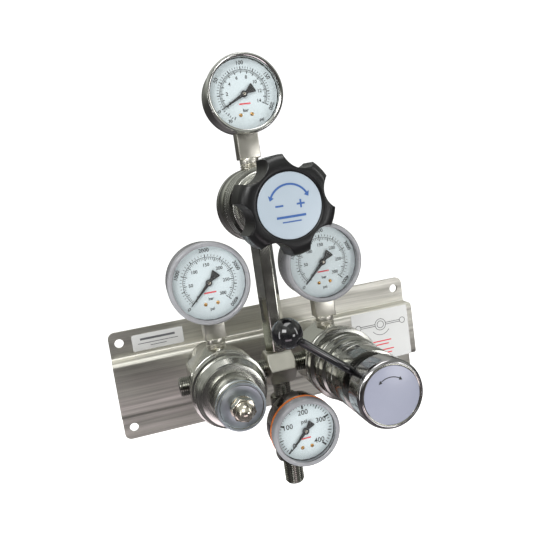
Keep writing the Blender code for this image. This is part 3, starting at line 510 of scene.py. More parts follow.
class Finish(Nodes):
    """A Principled material under construction."""

    def __init__(self, name, colour, roughness, metallic=0.0, **constants):
        self.material = bpy.data.materials.new(name)
        self.material.use_nodes = True
        super().__init__(self.material.node_tree)
        self.shader = self.tree.nodes["Principled BSDF"]
        self.set("Base Color", (*colour, 1.0))
        self.set("Roughness", roughness)
        self.set("Metallic", metallic)
        for socket, value in constants.items():
            self.set(socket.replace("_", " "), value)
        self.material.diffuse_color = (*colour, 1.0)
        self.coords = self.tree.nodes.new("ShaderNodeTexCoord").outputs["Object"]

    def set(self, socket, value):
        self.shader.inputs[socket].default_value = value

    def mapped(self, scale=(1, 1, 1), spot=(0, 0, 0)):
        """Object coordinates about a spot, stretched along each axis."""
        made = self.node("Mapping")
        made.inputs["Scale"].default_value = scale
        made.inputs["Location"].default_value = [-s * c for s, c in zip(scale, spot)]
        self.link(self.coords, made.inputs["Vector"])
        return made.outputs["Vector"]

    def rings(self, spot, scale, distortion=0.0):
        """Turning marks round the line through spot that points out from the wall."""
        made = self.node("TexWave", wave_type="RINGS", rings_direction="Y")
        made.inputs["Scale"].default_value = scale
        made.inputs["Distortion"].default_value = distortion
        self.link(self.mapped(spot=spot), made.inputs["Vector"])
        return made.outputs["Fac"]

    def tint(self, value, first, second, start=0.3, end=0.7):
        """A colour between two as the value goes from start to end."""
        ramp = self.node("ValToRGB")
        ramp.color_ramp.elements[0].position = start
        ramp.color_ramp.elements[0].color = (*first, 1.0)
        ramp.color_ramp.elements[1].position = end
        ramp.color_ramp.elements[1].color = (*second, 1.0)
        self.link(value, ramp.inputs["Fac"])
        self.link(ramp.outputs["Color"], self.shader.inputs["Base Color"])

    def rough(self, value, low, high, start=0.3, end=0.7):
        self.link(self.spread(value, low, high, start, end), self.shader.inputs["Roughness"])

    def bump(self, *layers):
        """Relief from (value, height in metres) layers, each on top of the last."""
        normal = None
        for value, height in layers:
            made = self.node("Bump")
            made.inputs["Strength"].default_value = 1.0
            made.inputs["Distance"].default_value = height
            self.link(value, made.inputs["Height"])
            if normal:
                self.link(normal, made.inputs["Normal"])
            normal = made.outputs["Normal"]
        self.link(normal, self.shader.inputs["Normal"])
        return self.material


def shade(colour, factor):
    return tuple(min(1.0, channel * factor) for channel in colour)


def kept(name, make):
    """The named material, made on its first use."""
    return bpy.data.materials.get(name) or make(name)


def sheet_steel(name="brushed_sheet"):
    def make(name):
        base = tuple(looks().sheet_colour)
        finish = Finish(name, base, 0.32, 1.0, Anisotropic=0.45)
        grain = finish.noise(260, finish.mapped((0.05, 1, 1)), 5)
        cloud = finish.noise(22)
        scratch = finish.noise(420, finish.mapped((0.02, 1, 0.9), (0.3, 0, 0)), 2, 0.8)
        finish.tint(scratch, shade(base, 0.74), shade(base, 1.10), 0.28, 0.66)
        finish.rough(grain, 0.36, 0.56)
        return finish.bump((grain, 0.00001), (scratch, 0.00002), (cloud, 0.00004))
    return kept(name, make)


def toned(name, base, roughness, tones, gloss, cloud, grain=None, swell=0.0, metallic=1.0,
          fine_gloss=False, **constants):
    """A finish whose colour and gloss drift with a coarse noise, under a fine grain.

    cloud is (scale, detail), grain is (scale, detail, height) and swell is the cloud's height."""
    def make(name):
        finish = Finish(name, base, roughness, metallic, **constants)
        drift = finish.noise(cloud[0], detail=cloud[1])
        layers = []
        if grain:
            layers.append((finish.noise(grain[0], detail=grain[1]), grain[2]))
        if swell:
            layers.append((drift, swell))
        finish.tint(drift, shade(base, tones[0]), shade(base, tones[1]))
        finish.rough(layers[0][0] if fine_gloss else drift, *gloss)
        return finish.bump(*layers)
    return kept(name, make)


def nickel(name="bright_nickel", darker=1.0):
    return toned(name, shade(looks().plate_colour, darker), 0.12, (0.94, 1.05), (0.08, 0.18),
                 cloud=(60, 3), grain=(900, 2, 0.000002), swell=0.000004, Coat_Weight=0.15,
                 Coat_Roughness=0.08)


def satin_nickel():
    """Duller, warmer plating of the wrench blocks and the cross."""
    return toned("satin_nickel", tuple(looks().satin_colour), 0.34, (0.92, 1.06), (0.28, 0.42),
                 cloud=(80, 3), grain=(1300, 3, 0.000006), swell=0.00001)


def cap_chrome():
    return toned("cap_chrome", (0.36, 0.35, 0.36), 0.12, (0.92, 1.10), (0.08, 0.18),
                 cloud=(55, 3), grain=(800, 3, 0.000002), swell=0.000006, Coat_Weight=0.5,
                 Coat_Roughness=0.06)


def brass(name="pale_brass", base=(0.58, 0.54, 0.46)):
    return toned(name, base, 0.22, (0.82, 1.10), (0.14, 0.32), cloud=(240, 4), swell=0.00002)


def spring_wire():
    return toned("spring_wire", (0.40, 0.40, 0.41), 0.36, (0.8, 1.15), (0.28, 0.45),
                 cloud=(600, 3), swell=0.00001)


def bright_rim():
    return toned("bright_rim", (0.60, 0.60, 0.58), 0.14, (0.88, 1.08), (0.09, 0.18),
                 cloud=(70, 3), grain=(1100, 3, 0.000002), swell=0.000005)


def moulded_rim():
    """The pale, slightly frosted plastic of the snap-on gauge rims."""
    return toned("moulded_rim", tuple(looks().bezel_colour), 0.24, (0.90, 1.08), (0.18, 0.32),
                 cloud=(60, 3), grain=(1500, 3, 0.000004), swell=0.000008, metallic=0.0,
                 Coat_Weight=0.5, Coat_Roughness=0.08, Specular_IOR_Level=0.6)


def satin_black():
    return toned("satin_black", (0.004, 0.004, 0.0045), 0.34, (0.8, 1.5), (0.27, 0.38),
                 cloud=(70, 3), grain=(1700, 3, 0.00002), metallic=0.0, Specular_IOR_Level=0.45)


def gloss_black():
    return toned("gloss_black", (0.005, 0.005, 0.006), 0.08, (0.8, 1.6), (0.05, 0.13),
                 cloud=(90, 4), swell=0.00003, metallic=0.0, Coat_Weight=0.6,
                 Coat_Roughness=0.04)


def enamel():
    return toned("dial_enamel", tuple(looks().dial_colour), 0.42, (0.97, 1.02), (0.36, 0.50),
                 cloud=(55, 3), grain=(1400, 3, 0.000004), metallic=0.0, fine_gloss=True)


def label_film(name="label_film", colour=None):
    return toned(name, colour or tuple(looks().label_colour), 0.34, (0.96, 1.02), (0.28, 0.40),
                 cloud=(40, 3), grain=(2100, 3, 0.000008), metallic=0.0, Coat_Weight=0.25,
                 Coat_Roughness=0.2)


def clear_window():
    return toned("clear_window", (0.93, 0.97, 0.98), 0.03, (0.98, 1.0), (0.02, 0.06),
                 cloud=(30, 3), swell=0.00001, metallic=0.0, Alpha=0.015,
                 Specular_IOR_Level=0.5)


def orange_rubber():
    return toned("orange_rubber", (0.80, 0.20, 0.03), 0.55, (0.85, 1.08), (0.48, 0.65),
                 cloud=(900, 3), swell=0.00002, metallic=0.0)


def ink(name, colour):
    return toned(name, colour, 0.5, (0.85, 1.2), (0.42, 0.58), cloud=(1500, 3),
                 swell=0.000003, metallic=0.0)


def turned_steel(node, name=None, darker=1.0):
    """Steel with fine tool marks round a node's own axis and along it."""
    def make(name):
        base = shade(tuple(looks().steel_colour), darker)
        finish = Finish(name, base, 0.2, 1.0, Anisotropic=0.5)
        spot = middle(node)
        lines = finish.noise(3200, finish.mapped((0.01, 1, 0.01), (spot.x, 0, spot.z)), 3)
        faces = finish.rings((spot.x, 0, spot.z), 700, 0.4)
        cloud = finish.noise(45)
        finish.tint(cloud, shade(base, 0.95), shade(base, 1.05))
        finish.rough(lines, 0.12, 0.28)
        return finish.bump((lines, 0.000002), (faces, 0.000001), (cloud, 0.000002))
    return kept(name or node + "_turned", make)


def zinc(node):
    def make(name):
        base = tuple(looks().zinc_colour)
        finish = Finish(name, base, 0.34, 1.0)
        spot = middle(node)
        faces = finish.rings((spot.x, 0, spot.z), 420, 0.8)
        cloud = finish.noise(120, detail=6)
        finish.tint(cloud, shade(base, 0.80), shade(base, 1.14))
        finish.rough(cloud, 0.26, 0.46)
        return finish.bump((faces, 0.000004), (cloud, 0.000004))
    return kept(node + "_zinc", make)


# ---------------------------------------------------------------- bracket and labels

def bracket_outline(edge, wall, depth, sheet, bend, steps=8):
    """The hat section as (out, height) points, every bend a smooth arc."""
    wide = bend + sheet
    inner = wall - sheet
    corners = [((sheet, -edge), 0), ((sheet, -wall), bend), ((depth, -wall), wide),
               ((depth, wall), wide), ((sheet, wall), bend), ((sheet, edge), 0),
               ((0, edge), 0), ((0, inner), wide), ((depth - sheet, inner), bend),
               ((depth - sheet, -inner), bend), ((0, -inner), wide), ((0, -edge), 0)]
    points = []
    for index, (corner, radius) in enumerate(corners):
        corner = Vector(corner)
        before = (Vector(corners[index - 1][0]) - corner).normalized()
        after = (Vector(corners[(index + 1) % len(corners)][0]) - corner).normalized()
        if not radius:
            points.append(corner)
            continue
        centre = corner + (before + after) * radius
        for step in range(steps + 1):
            angle = math.pi / 2 * step / steps
            points.append(centre - after * radius * math.cos(angle)
                          - before * radius * math.sin(angle))
    return points


def cutting_card(centre, width, height, depth):
    """The mesh of a rounded rectangle deep enough to trim the bracket's corners."""
    bm = bmesh.new()
    plate(bm, rounded_card(width + 2 * MERGE, height + 2 * MERGE, CORNER_R, 10), -SHEET,
          depth + SHEET, stand_at((centre.x, 0, centre.z)))
    return loose_mesh(bm, "corner_trim")


def build_bracket():
    """Folded sheet with rounded corners, screw holes and bolt holes."""
    low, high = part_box("mounting_bracket")
    centre = (low + high) / 2
    depth = -low.y
    edge = (high.z - low.z) / 2
    bm = bmesh.new()
    ring = [bm.verts.new((low.x, -out, centre.z + height))
            for out, height in bracket_outline(edge, PLATE_H / 2, depth, SHEET, BEND_R)]
    face = bm.faces.new(ring)
    grown = bmesh.ops.extrude_face_region(bm, geom=[face])["geom"]
    ends = [v for v in grown if isinstance(v, bmesh.types.BMVert)]
    bmesh.ops.translate(bm, verts=ends, vec=(high.x - low.x, 0, 0))
    piece = finish_piece(bm, "bracket_sheet", sheet_steel(),
                         replaced=("mounting_bracket",), sharp=math.radians(24))
    bored(piece, [cutting_card(centre, high.x - low.x, 2 * edge, depth)], "INTERSECT")
    holes = []
    for x in (low.x + HOLE_FROM_END, high.x - HOLE_FROM_END):
        for z in (low.z + HOLE_FROM_EDGE, high.z - HOLE_FROM_EDGE):
            holes.append(drill(HOLE_R, -SHEET, 2 * SHEET, stand_at((x, 0, z))))
    for node in ("left_bolt", "right_bolt"):
        spot = middle(node)
        holes.append(drill(BOLT_HOLE_R, depth - 2 * SHEET, depth + SHEET,
                           stand_at((spot.x, 0, spot.z))))
    bored(piece, holes)
    for node in ("left_bolt", "right_bolt"):
        dress(node, zinc(node))


def rounded_card(width, height, radius, steps=6):
    """The outline of a rectangle with round corners."""
    outline = []
    for index, (sx, sy) in enumerate([(1, 1), (-1, 1), (-1, -1), (1, -1)]):
        spot = (sx * (width / 2 - radius), sy * (height / 2 - radius))
        outline += arc(radius, math.pi / 2 * index, math.pi / 2 * (index + 1), steps, spot)
    return outline


def build_card(name, low, high, out, radius=0.0012):
    """A self-adhesive label between two (x, z) corners, lying on a face this far out."""
    spot = ((low[0] + high[0]) / 2, -out, (low[1] + high[1]) / 2)
    stand = stand_at(spot)
    bm = bmesh.new()
    plate(bm, rounded_card(high[0] - low[0], high[1] - low[1], radius), 0.00002, CARD_T, stand)
    finish_piece(bm, name, label_film("card_film", (0.58, 0.58, 0.58)))
    return stand @ Matrix.Translation((0, 0, CARD_T))


def build_labels():
    """Two cards: bars for lettering, a drawing of the lever and red bars."""
    face = build_card("number_card", *LEFT_CARD, SHEET)
    bm = bmesh.new()
    bars(bm, face, ((0.013, 0.0022, 0.0016), (0.015, -0.0010, 0.0005), (0.006, -0.0032, 0.0005)))
    finish_piece(bm, "number_card_bars", ink("grey_ink", (0.10, 0.10, 0.11)))

    face = build_card("lever_card", *RIGHT_CARD, outs("mounting_bracket")[1])
    bm = bmesh.new()
    fine, up = 0.0004, 0.0087
    hub = (0.0, up)
    for radius, steps in ((0.0046, 36), (0.0028, 30)):
        stroke(bm, arc(radius, 0, math.tau, steps, hub), fine, face)
    for side in (-1, 1):
        for lift in (-0.0007, 0.0007):
            stroke(bm, [(side * 0.0047, up + lift), (side * 0.0170, up + lift)], fine, face)
        stroke(bm, arc(0.0023, 0, math.tau, 24, (side * 0.0193, up)), fine, face)
    stroke(bm, arc(0.0085, math.radians(215), math.radians(325), 20, hub), fine, face)
    finish_piece(bm, "lever_card_drawing", ink(*BLACK_INK))
    bm = bmesh.new()
    bars(bm, face, ((0.0080, -0.0050, 0.0009), (0.0055, -0.0078, 0.0009),
                    (0.0095, -0.0125, 0.0009), (0.0075, -0.0153, 0.0009)))
    finish_piece(bm, "lever_card_bars", ink(*RED_INK))


# ---------------------------------------------------------------- regulators

def dress(node, finish):
    """Gives a carried-over node its finish."""
    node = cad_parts[node]
    node.data.materials.clear()
    node.data.materials.append(finish)


def build_side_body(side):
    """Hex bar body, its boss to the bracket and a spot face under the gauge."""
    node = side + "_body"
    back, front = outs(node)
    stand = axis_stand(node)
    bm = bmesh.new()
    loft(bm, hex_rings(HEX_AF, BODY_BACK, front), stand, 192)
    turn(bm, [(0, back), (BOSS_R, back), (BOSS_R, BODY_BACK + 0.001), (0, BODY_BACK + 0.001)],
         stand, 0.0006)
    piece = finish_piece(bm, node + "_bar", nickel(), replaced=(node,))
    spot = middle(side + "_gauge_stem")
    axis = middle(node)
    top = stand_at((axis.x, spot.y, axis.z), UP)
    bored(piece, [drill(0.0100, PORT_FACE, PORT_FACE + 0.004, top)])


def flange_corners(back):
    ring = back + RING_AHEAD
    return [(HOUSE_R, back), (FLANGE_R, back), (FLANGE_R, ring), (RING_R, ring),
            (RING_R, ring + 0.0022), (0.0238, ring + 0.0024), (0.0238, ring + 0.0031),
            (RING_R, ring + 0.0033), (RING_R, ring + 0.0100)]


def build_left_regulator():
    build_side_body("left")
    back, front = outs("left_bonnet")
    step = back + FLANGE_L
    groove = LEFT_STEP_R - RING_GROOVE_D
    spun("left_bonnet_shell", turned_steel("left_bonnet"),
         axis_stand("left_bonnet"), flange_corners(back) +
         [(LEFT_STEP_R, step), (LEFT_STEP_R, step + 0.0022), (groove, step + 0.0024),
          (groove, step + 0.0032), (LEFT_STEP_R, step + 0.0034), (LEFT_STEP_R, step + 0.0051),
          (LEFT_NECK_R, step + 0.0088), (LEFT_NECK_R, front), (HOUSE_R, front)],
         closed=True, replaced=("left_bonnet",))
    build_left_cap()
    build_left_nut()


def build_left_cap():
    """Spring cap with bright turned sides and a zinc face."""
    back, front = outs("left_spring_cap")
    rim = CAP_R - 0.0004
    face = front - 0.0005
    piece = spun("left_cap_shell", turned_steel("left_spring_cap"),
                 axis_stand("left_spring_cap"),
                 [(CAP_BORE_R, back), (CAP_R, back), (CAP_R, front - 0.0046),
                  (CAP_R - 0.0009, front - 0.0042), (CAP_R - 0.0009, front - 0.0030),
                  (rim, front - 0.0026), (rim, front), (0.0132, front), (0.0129, face),
                  (0.0068, face), (0.0065, front), (0.0045, front),
                  (0.0045, front - CAP_WALL), (CAP_BORE_R, front - CAP_WALL)],
                 0.00025, True, replaced=("left_spring_cap",))
    piece.data.materials.append(zinc("left_spring_cap"))
    for polygon in piece.data.polygons:
        polygon.material_index = int(polygon.normal.y < -0.8)


def build_left_nut():
    """Set screw, washer and domed nut."""
    back, front = outs("left_set_screw")
    seat = outs("left_spring_cap")[1] + GAP
    hexagon = seat + 0.0007
    stand = axis_stand("left_spring_cap")
    bm = bmesh.new()
    turn(bm, [(0, back), (SCREW_R, back), (SCREW_R, seat + 0.001), (0, seat + 0.001)], stand)
    turn(bm, [(SCREW_R, seat), (0.0072, seat), (0.0072, hexagon), (SCREW_R, hexagon)], stand,
         0.0002, closed=True)
    loft(bm, hex_rings(NUT_AF, hexagon, seat + 0.0065, NUT_TURN, 4), stand, 144)
    dome = seat + 0.0074
    rings = [(dome - 0.0014, DOME_R + 0.0003), (dome - 0.0002, DOME_R + 0.0003)]
    for step in range(13):
        angle = math.pi / 2 * step / 12
        rings.append((dome + (front - dome) * math.sin(angle), DOME_R * math.cos(angle)))
    loft(bm, rings, stand, 96)
    finish_piece(bm, "left_cap_nut", brass(), replaced=("left_set_screw",))


def build_drum():
    """Flange, step, waist and the sleeve that the selector turns in."""
    back, front = outs("right_drum")
    step = back + FLANGE_L
    waist = step + DRUM_STEP_L
    sleeve = waist + DRUM_WAIST_L
    groove, shallow = DRUM_STEP_R - 0.0005, DRUM_WAIST_R - 0.0003
    stand = axis_stand("right_drum")
    piece = spun("right_drum_shell", turned_steel("right_drum", darker=0.62),
                 stand, flange_corners(back) +
                 [(DRUM_STEP_R, step), (DRUM_STEP_R, step + 0.0052), (groove, step + 0.0055),
                  (groove, step + 0.0067), (DRUM_STEP_R, step + 0.0070), (DRUM_STEP_R, waist),
                  (DRUM_WAIST_R, waist + 0.0003), (DRUM_WAIST_R, waist + 0.0040),
                  (shallow, waist + 0.0042), (shallow, waist + 0.0060),
                  (DRUM_WAIST_R, waist + 0.0062), (DRUM_WAIST_R, sleeve - 0.0008),
                  (0.0194, sleeve - 0.0004), (0.0194, sleeve), (DRUM_R - 0.0009, sleeve),
                  (DRUM_R, sleeve + 0.0011), (DRUM_R, front), (0.0063, front),
                  (0.0063, front - DRUM_WALL), (HOUSE_R, front - DRUM_WALL)],
                 closed=True, replaced=("right_drum",))
    spot = middle("right_drum")
    bored(piece, [drill(PIN_HOLE_R, front - 0.0060, front + 0.001,
                        stand_at((spot.x + side * PIN_OFFSET, 0, spot.z)), 24)
                  for side in (-1, 1)])
    build_drum_slot(stand, sleeve)


def build_drum_slot(stand, sleeve):
    """A flat black oval near the back edge of the sleeve: painted shade standing in for the small
    oval recess there.
    """
    angle = math.radians(96)
    spot = stand @ Vector((DRUM_R * math.cos(angle), DRUM_R * math.sin(angle), sleeve + 0.0040))
    out = (spot - stand @ Vector((0, 0, sleeve + 0.0040))).normalized()
    there = stand_at(spot - out * 0.0003, out)
    bm = bmesh.new()
    outline = arc(0.0011, -math.pi / 2, math.pi / 2, 8, (0.0016, 0))
    outline += arc(0.0011, math.pi / 2, 3 * math.pi / 2, 8, (-0.0016, 0))
    # Painted shade: a black oval flush with the sleeve, where the real recess lies in shadow
    plate(bm, outline, 0.0, 0.00032, there)
    finish_piece(bm, "drum_recess_shade", ink(*BLACK_INK))


def build_end_cap():
    back, front = outs("drum_end_cap")
    groove_end = outs("selector_collar")[1] + GAP
    stand = axis_stand("drum_end_cap")
    spun("end_cap_shell", cap_chrome(), stand,
         [(0, back), (0.0060, back), (0.0060, groove_end), (DRUM_R - 0.0002, groove_end),
          (DRUM_R, groove_end + 0.0006), (DRUM_R, front - 0.0026),
          (DRUM_R - 0.0006, front - 0.0010), (DRUM_R - 0.0018, front), (0.0180, front),
          (0.0177, front - 0.0006), (0, front - 0.0006)],
         0.0004, replaced=("drum_end_cap",))
    spun("end_cap_ring", nickel(), stand,
         [(0.0171, front - 0.0007), (0.0180, front - 0.0007), (0.0180, front - 0.0001),
          (0.0176, front), (0.0171, front - 0.0002)], CRISP_EASE, True)
    build_end_label(stand, front)


def arrow_head(bm, face, radius, angle, way, reach, half):
    """A filled head that points round a circle, anticlockwise where way is 1."""
    base = [(r * math.cos(angle), r * math.sin(angle)) for r in (radius - half, radius + half)]
    tip = angle + way * reach
    outline = base + [(radius * math.cos(tip), radius * math.sin(tip))]
    plate(bm, outline[::way], 0.0, 2 * INK, face)


def two_way_arrow(bm, face, radius, start, end, width, half, steps):
    """An arc with a head at each end."""
    stroke(bm, arc(radius, start, end, steps), width, face)
    for angle, way in ((start, 1), (end, -1)):
        arrow_head(bm, face, radius, angle, way, ARROW_REACH, half)


def build_end_label(stand, front):
    """A plain disc with an arrow that turns both ways."""
    film = front - 0.0002
    spun("end_label", label_film("end_film", (0.27, 0.28, 0.36)), stand,
         [(0, front - 0.0006), (END_LABEL_R, front - 0.0006), (END_LABEL_R, film), (0, film)],
         CRISP_EASE)
    face = stand @ Matrix.Translation((0, 0, film))
    bm = bmesh.new()
    two_way_arrow(bm, face, 0.0105, math.radians(122), math.radians(58), 0.0005, 0.0011, 24)
    finish_piece(bm, "end_label_arrow", ink(*BLACK_INK))


def build_right_regulator():
    build_side_body("right")
    build_drum()
    build_end_cap()


def build_selector():
    """Collar, lever and ball, which turn together."""
    low, high = outs("selector_collar")
    hub = middle("selector_collar")
    ball = middle("selector_ball")
    centre = Vector((hub.x, ball.y, hub.z))
    reach = (ball - centre).length
    lever = stand_at(centre, (ball - centre).normalized())
    bm = bmesh.new()
    turn(bm, [(0.0063, low), (COLLAR_R, low), (COLLAR_R, high), (0.0063, high)],
         axis_stand("selector_collar"), 0.0005, closed=True)
    turn(bm, [(0.0026, 0.0150), (0.0040, 0.0150), (0.0040, 0.0178), (0.0026, 0.0178)], lever,
         0.0004, closed=True, sides=48)
    finish_piece(bm, "collar_ring", satin_black(), "selector",
                 ("selector_collar",))
    start, stud = 0.0108, reach - 0.0060
    spun("lever_rod", gloss_black(), lever,
         [(0, start), (LEVER_R, start), (LEVER_R, reach - 0.0105), (0.0021, reach - 0.0092),
          (0.0019, stud), (0, stud)], 0.0006, sides=48, body="selector",
         replaced=("selector_lever",))
    neck = reach - 0.0088
    rings = [(reach - 0.0068, 0.0021), (neck, 0.0024), (neck, 0.0030)]
    for step in range(BALL_STEPS):
        angle = math.radians(-70 + 160 * step / BALL_STEPS)
        rings.append((reach + BALL_R * math.sin(angle), BALL_R * math.cos(angle)))
    rings.append((reach + BALL_R, 0))
    bm = bmesh.new()
    loft(bm, rings, lever, 64)
    finish_piece(bm, "lever_ball", gloss_black(), "selector", ("selector_ball",))


def build_top_regulator():
    back, front = outs("top_body")
    radius, groove = TOP_BODY_R, TOP_BODY_R - 0.0004
    spun("top_body_shell", nickel(), axis_stand("top_body"),
         [(0, back), (radius - 0.0016, back), (radius, back + 0.0016),
          (radius, back + 0.0062), (groove, back + 0.0066), (groove, back + 0.0074),
          (radius, back + 0.0078), (radius, front), (0, front)],
         0.0005, replaced=("top_body",))
    back, front = outs("top_bonnet")
    wall = back + TOP_HOUSE_L
    ring = back + RING_AHEAD
    ring_end = back + FLANGE_L + 0.0063
    stage = ring_end + 0.0021
    shoulder = stage + TOP_STAGE_L
    shallow = TOP_STAGE_R - 0.0003
    spun("top_bonnet_shell", turned_steel("top_bonnet"),
         axis_stand("top_body"),
         [(HOUSE_R, back), (FLANGE_R, back), (FLANGE_R, ring), (RING_R, ring),
          (RING_R, ring + 0.0042), (0.0240, ring + 0.0045), (0.0240, ring + 0.0053),
          (RING_R, ring + 0.0056), (RING_R, ring + 0.0100), (0.0238, ring + 0.0104),
          (RING_R, ring + 0.0108), (RING_R, ring_end), (0.0218, ring_end),
          (TOP_STAGE_R, stage), (TOP_STAGE_R, stage + 0.0070), (shallow, stage + 0.0073),
          (shallow, stage + 0.0082), (TOP_STAGE_R, stage + 0.0085), (TOP_STAGE_R, shoulder),
          (TOP_NECK_R, shoulder), (TOP_NECK_R, front), (0.0049, front), (0.0049, wall),
          (HOUSE_R, wall)], closed=True, replaced=("top_bonnet",))
    dress("adjusting_screw", turned_steel("adjusting_screw"))


def build_handwheel():
    """Scalloped wheel with a rounded front edge, a small bead behind and a bore."""
    back, front = outs("handwheel")
    stand = axis_stand("top_bonnet")
    web = back + WHEEL_BORE_L
    rings = [(web, 0.0), (web, WHEEL_BORE_R), (back + 0.0004, WHEEL_BORE_R),
             (back, WHEEL_BORE_R + 0.0004), (back, lobed(WHEEL_R - WHEEL_BEAD))]
    for step in range(1, 4):
        angle = math.pi / 2 * step / 3
        rings.append((back + WHEEL_BEAD - WHEEL_BEAD * math.cos(angle),
                      lobed(WHEEL_R - WHEEL_BEAD + WHEEL_BEAD * math.sin(angle))))
    for step in range(13):
        angle = math.pi / 2 * step / 12
        rings.append((front - WHEEL_SHOULDER + WHEEL_SHOULDER * math.sin(angle),
                      lobed(WHEEL_R - WHEEL_SHOULDER + WHEEL_SHOULDER * math.cos(angle))))
    seat = front - 0.0009
    rings += [(front, lobed(WHEEL_FACE_R + 0.0016)), (front - 0.0001, WHEEL_FACE_R + 0.0006),
              (front - 0.0006, WHEEL_FACE_R + 0.0001), (seat, WHEEL_FACE_R), (seat, 0.0)]
    bm = bmesh.new()
    loft(bm, rings, stand, 360)
    finish_piece(bm, "wheel_shell", satin_black(), "handwheel", ("handwheel",),
                 math.radians(50))
    build_wheel_label(stand, front, WHEEL_FACE_R)


def build_wheel_label(stand, front, face):
    """A plain disc with a turning arrow, a minus, a plus and two bars."""
    edge = face - 0.0003
    spun("wheel_label", label_film(), stand,
         [(0, front - 0.0009), (edge, front - 0.0009), (edge, front - 0.0003),
          (edge - 0.0006, front - 0.0001), (0, front)], 0.0002, body="handwheel")
    top = stand @ Matrix.Translation((0, 0, front + 0.00001))
    bm = bmesh.new()
    two_way_arrow(bm, top, 0.0118, math.radians(150), math.radians(30), 0.0011, 0.0018,
                  30)
    arm, width, level, off = 0.0023, 0.0010, 0.0004, 0.0062
    for x in (-off, off):
        stroke(bm, [(x - arm, level), (x + arm, level)], width, top)
    for side in (-1, 1):
        stroke(bm, [(off, level + side * width / 2), (off, level + side * arm)], width, top)
    bars(bm, top, ((0.0085, -0.0060, 0.0013), (0.0055, -0.0088, 0.0007)))
    finish_piece(bm, "wheel_label_arrow", ink("blue_ink", (0.03, 0.09, 0.28)),
                 "handwheel")


# ---------------------------------------------------------------- pipework

def threaded_tube(bm, stand, low, high):
    """A threaded pipe with an open bore."""
    rings = [(low, PIPE_BORE_R), *thread_rings(PIPE_R, low, high), (high, PIPE_BORE_R)]
    loft(bm, rings, stand, 64, closed=True)


def build_pipework():
    for node in ("left_inlet_nipple", "right_inlet_nipple", "left_link_nipple",
                 "right_link_nipple"):
        low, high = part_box(node)
        spot = middle(node)
        bm = bmesh.new()
        threaded_tube(bm, stand_at((low.x, spot.y, spot.z), (1, 0, 0)), 0.0, high.x - low.x)
        finish_piece(bm, node + "_thread", nickel("dull_nickel", 0.55), replaced=(node,))
    build_cross()
    build_column()
    build_tee()


def build_cross():
    low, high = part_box("cross_block")
    spot = middle("cross_block")
    bm = bmesh.new()
    loft(bm, hex_rings(high.z - low.z, 0.0, high.x - low.x, math.pi / 2),
         stand_at((low.x, spot.y, spot.z), (1, 0, 0)), 144)
    finish_piece(bm, "cross_bar", satin_nickel(), replaced=("cross_block",))


def build_column():
    spot = middle("riser_column")
    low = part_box("cross_block")[1].z + 0.0003
    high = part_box("top_body")[0].z - 0.0003
    base, tip = (corner.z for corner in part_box("riser_column"))
    stand = stand_at((spot.x, spot.y, 0), UP)
    bm = bmesh.new()
    loft(bm, hex_rings(COLUMN_AF, low, high + 0.0006, math.pi / 2), stand, 144)
    turn(bm, [(0, base), (STUD_R, base), (STUD_R, tip), (0, tip)], stand)
    finish_piece(bm, "column_bar", nickel(), replaced=("riser_column",))


def build_tee():
    """Barrel with a threaded neck, wrench flats, outlet thread and a branch to the gauge."""
    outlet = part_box("outlet_tee")[0].z
    spot = middle("cross_block")
    cross_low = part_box("cross_block")[0].z
    top = cross_low - TEE_DROP
    grip_low = top - TEE_L
    grip_high = grip_low + TEE_HEX_L
    neck = STUD_R + 0.0006
    stand = stand_at((spot.x, spot.y, 0), UP)
    bm = bmesh.new()
    turn(bm, [(0, grip_high - 0.001), (TEE_R, grip_high - 0.001), (TEE_R, top - 0.0012),
              (TEE_R - 0.0012, top), (neck, top), (neck, cross_low), (0, cross_low)], stand,
         0.0005)
    loft(bm, thread_rings(STUD_R + 0.0008, top - 0.0005, cross_low - 0.0004, depth=0.0006),
         stand, 48)
    loft(bm, hex_rings(TEE_HEX_AF, grip_low, grip_high), stand, 144)
    rings = [(outlet, TEE_BORE_R), (outlet, PIPE_R - 0.0012)]
    rings += thread_rings(PIPE_R, outlet + 0.0003, grip_low + 0.0004)
    rings += [(grip_low + 0.001, TEE_BORE_R)]
    loft(bm, rings, stand, 64, closed=True)
    face = outs("low_gauge_stem")[0] + BRANCH_ENGAGE
    turn(bm, [(0, -spot.y), (BRANCH_R, -spot.y), (BRANCH_R, face - 0.0018),
              (BRANCH_R - 0.0007, face), (0, face)],
         stand_at((spot.x, 0, middle("low_gauge_case").z)), 0.0005)
    finish_piece(bm, "tee_fitting", nickel("dull_nickel", 0.55),
                 replaced=("outlet_tee",))


# ---------------------------------------------------------------- gauges

def gauge_radius(name):
    low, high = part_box(name + "_bezel")
    return (high.x - low.x) / 2


def build_case(name):
    """Cup with a raised disc on its back."""
    back, front = outs(name + "_case")
    radius = gauge_radius(name) - BEZEL_WALL
    inside = radius - CASE_WALL
    floor = back + 0.0014
    finish = cap_chrome() if name == "low_gauge" else rim_finish(name)
    spun(name + "_cup", finish, axis_stand(name + "_case"),
         [(0, back + 0.0004), (radius * 0.62, back + 0.0004), (radius * 0.64, back),
          (radius - 0.0020, back), (radius, back + 0.0020), (radius, front), (inside, front),
          (inside, floor), (0, floor)], 0.0007, replaced=(name + "_case",))


def rim_finish(name):
    return bright_rim() if name == "top_gauge" else moulded_rim()


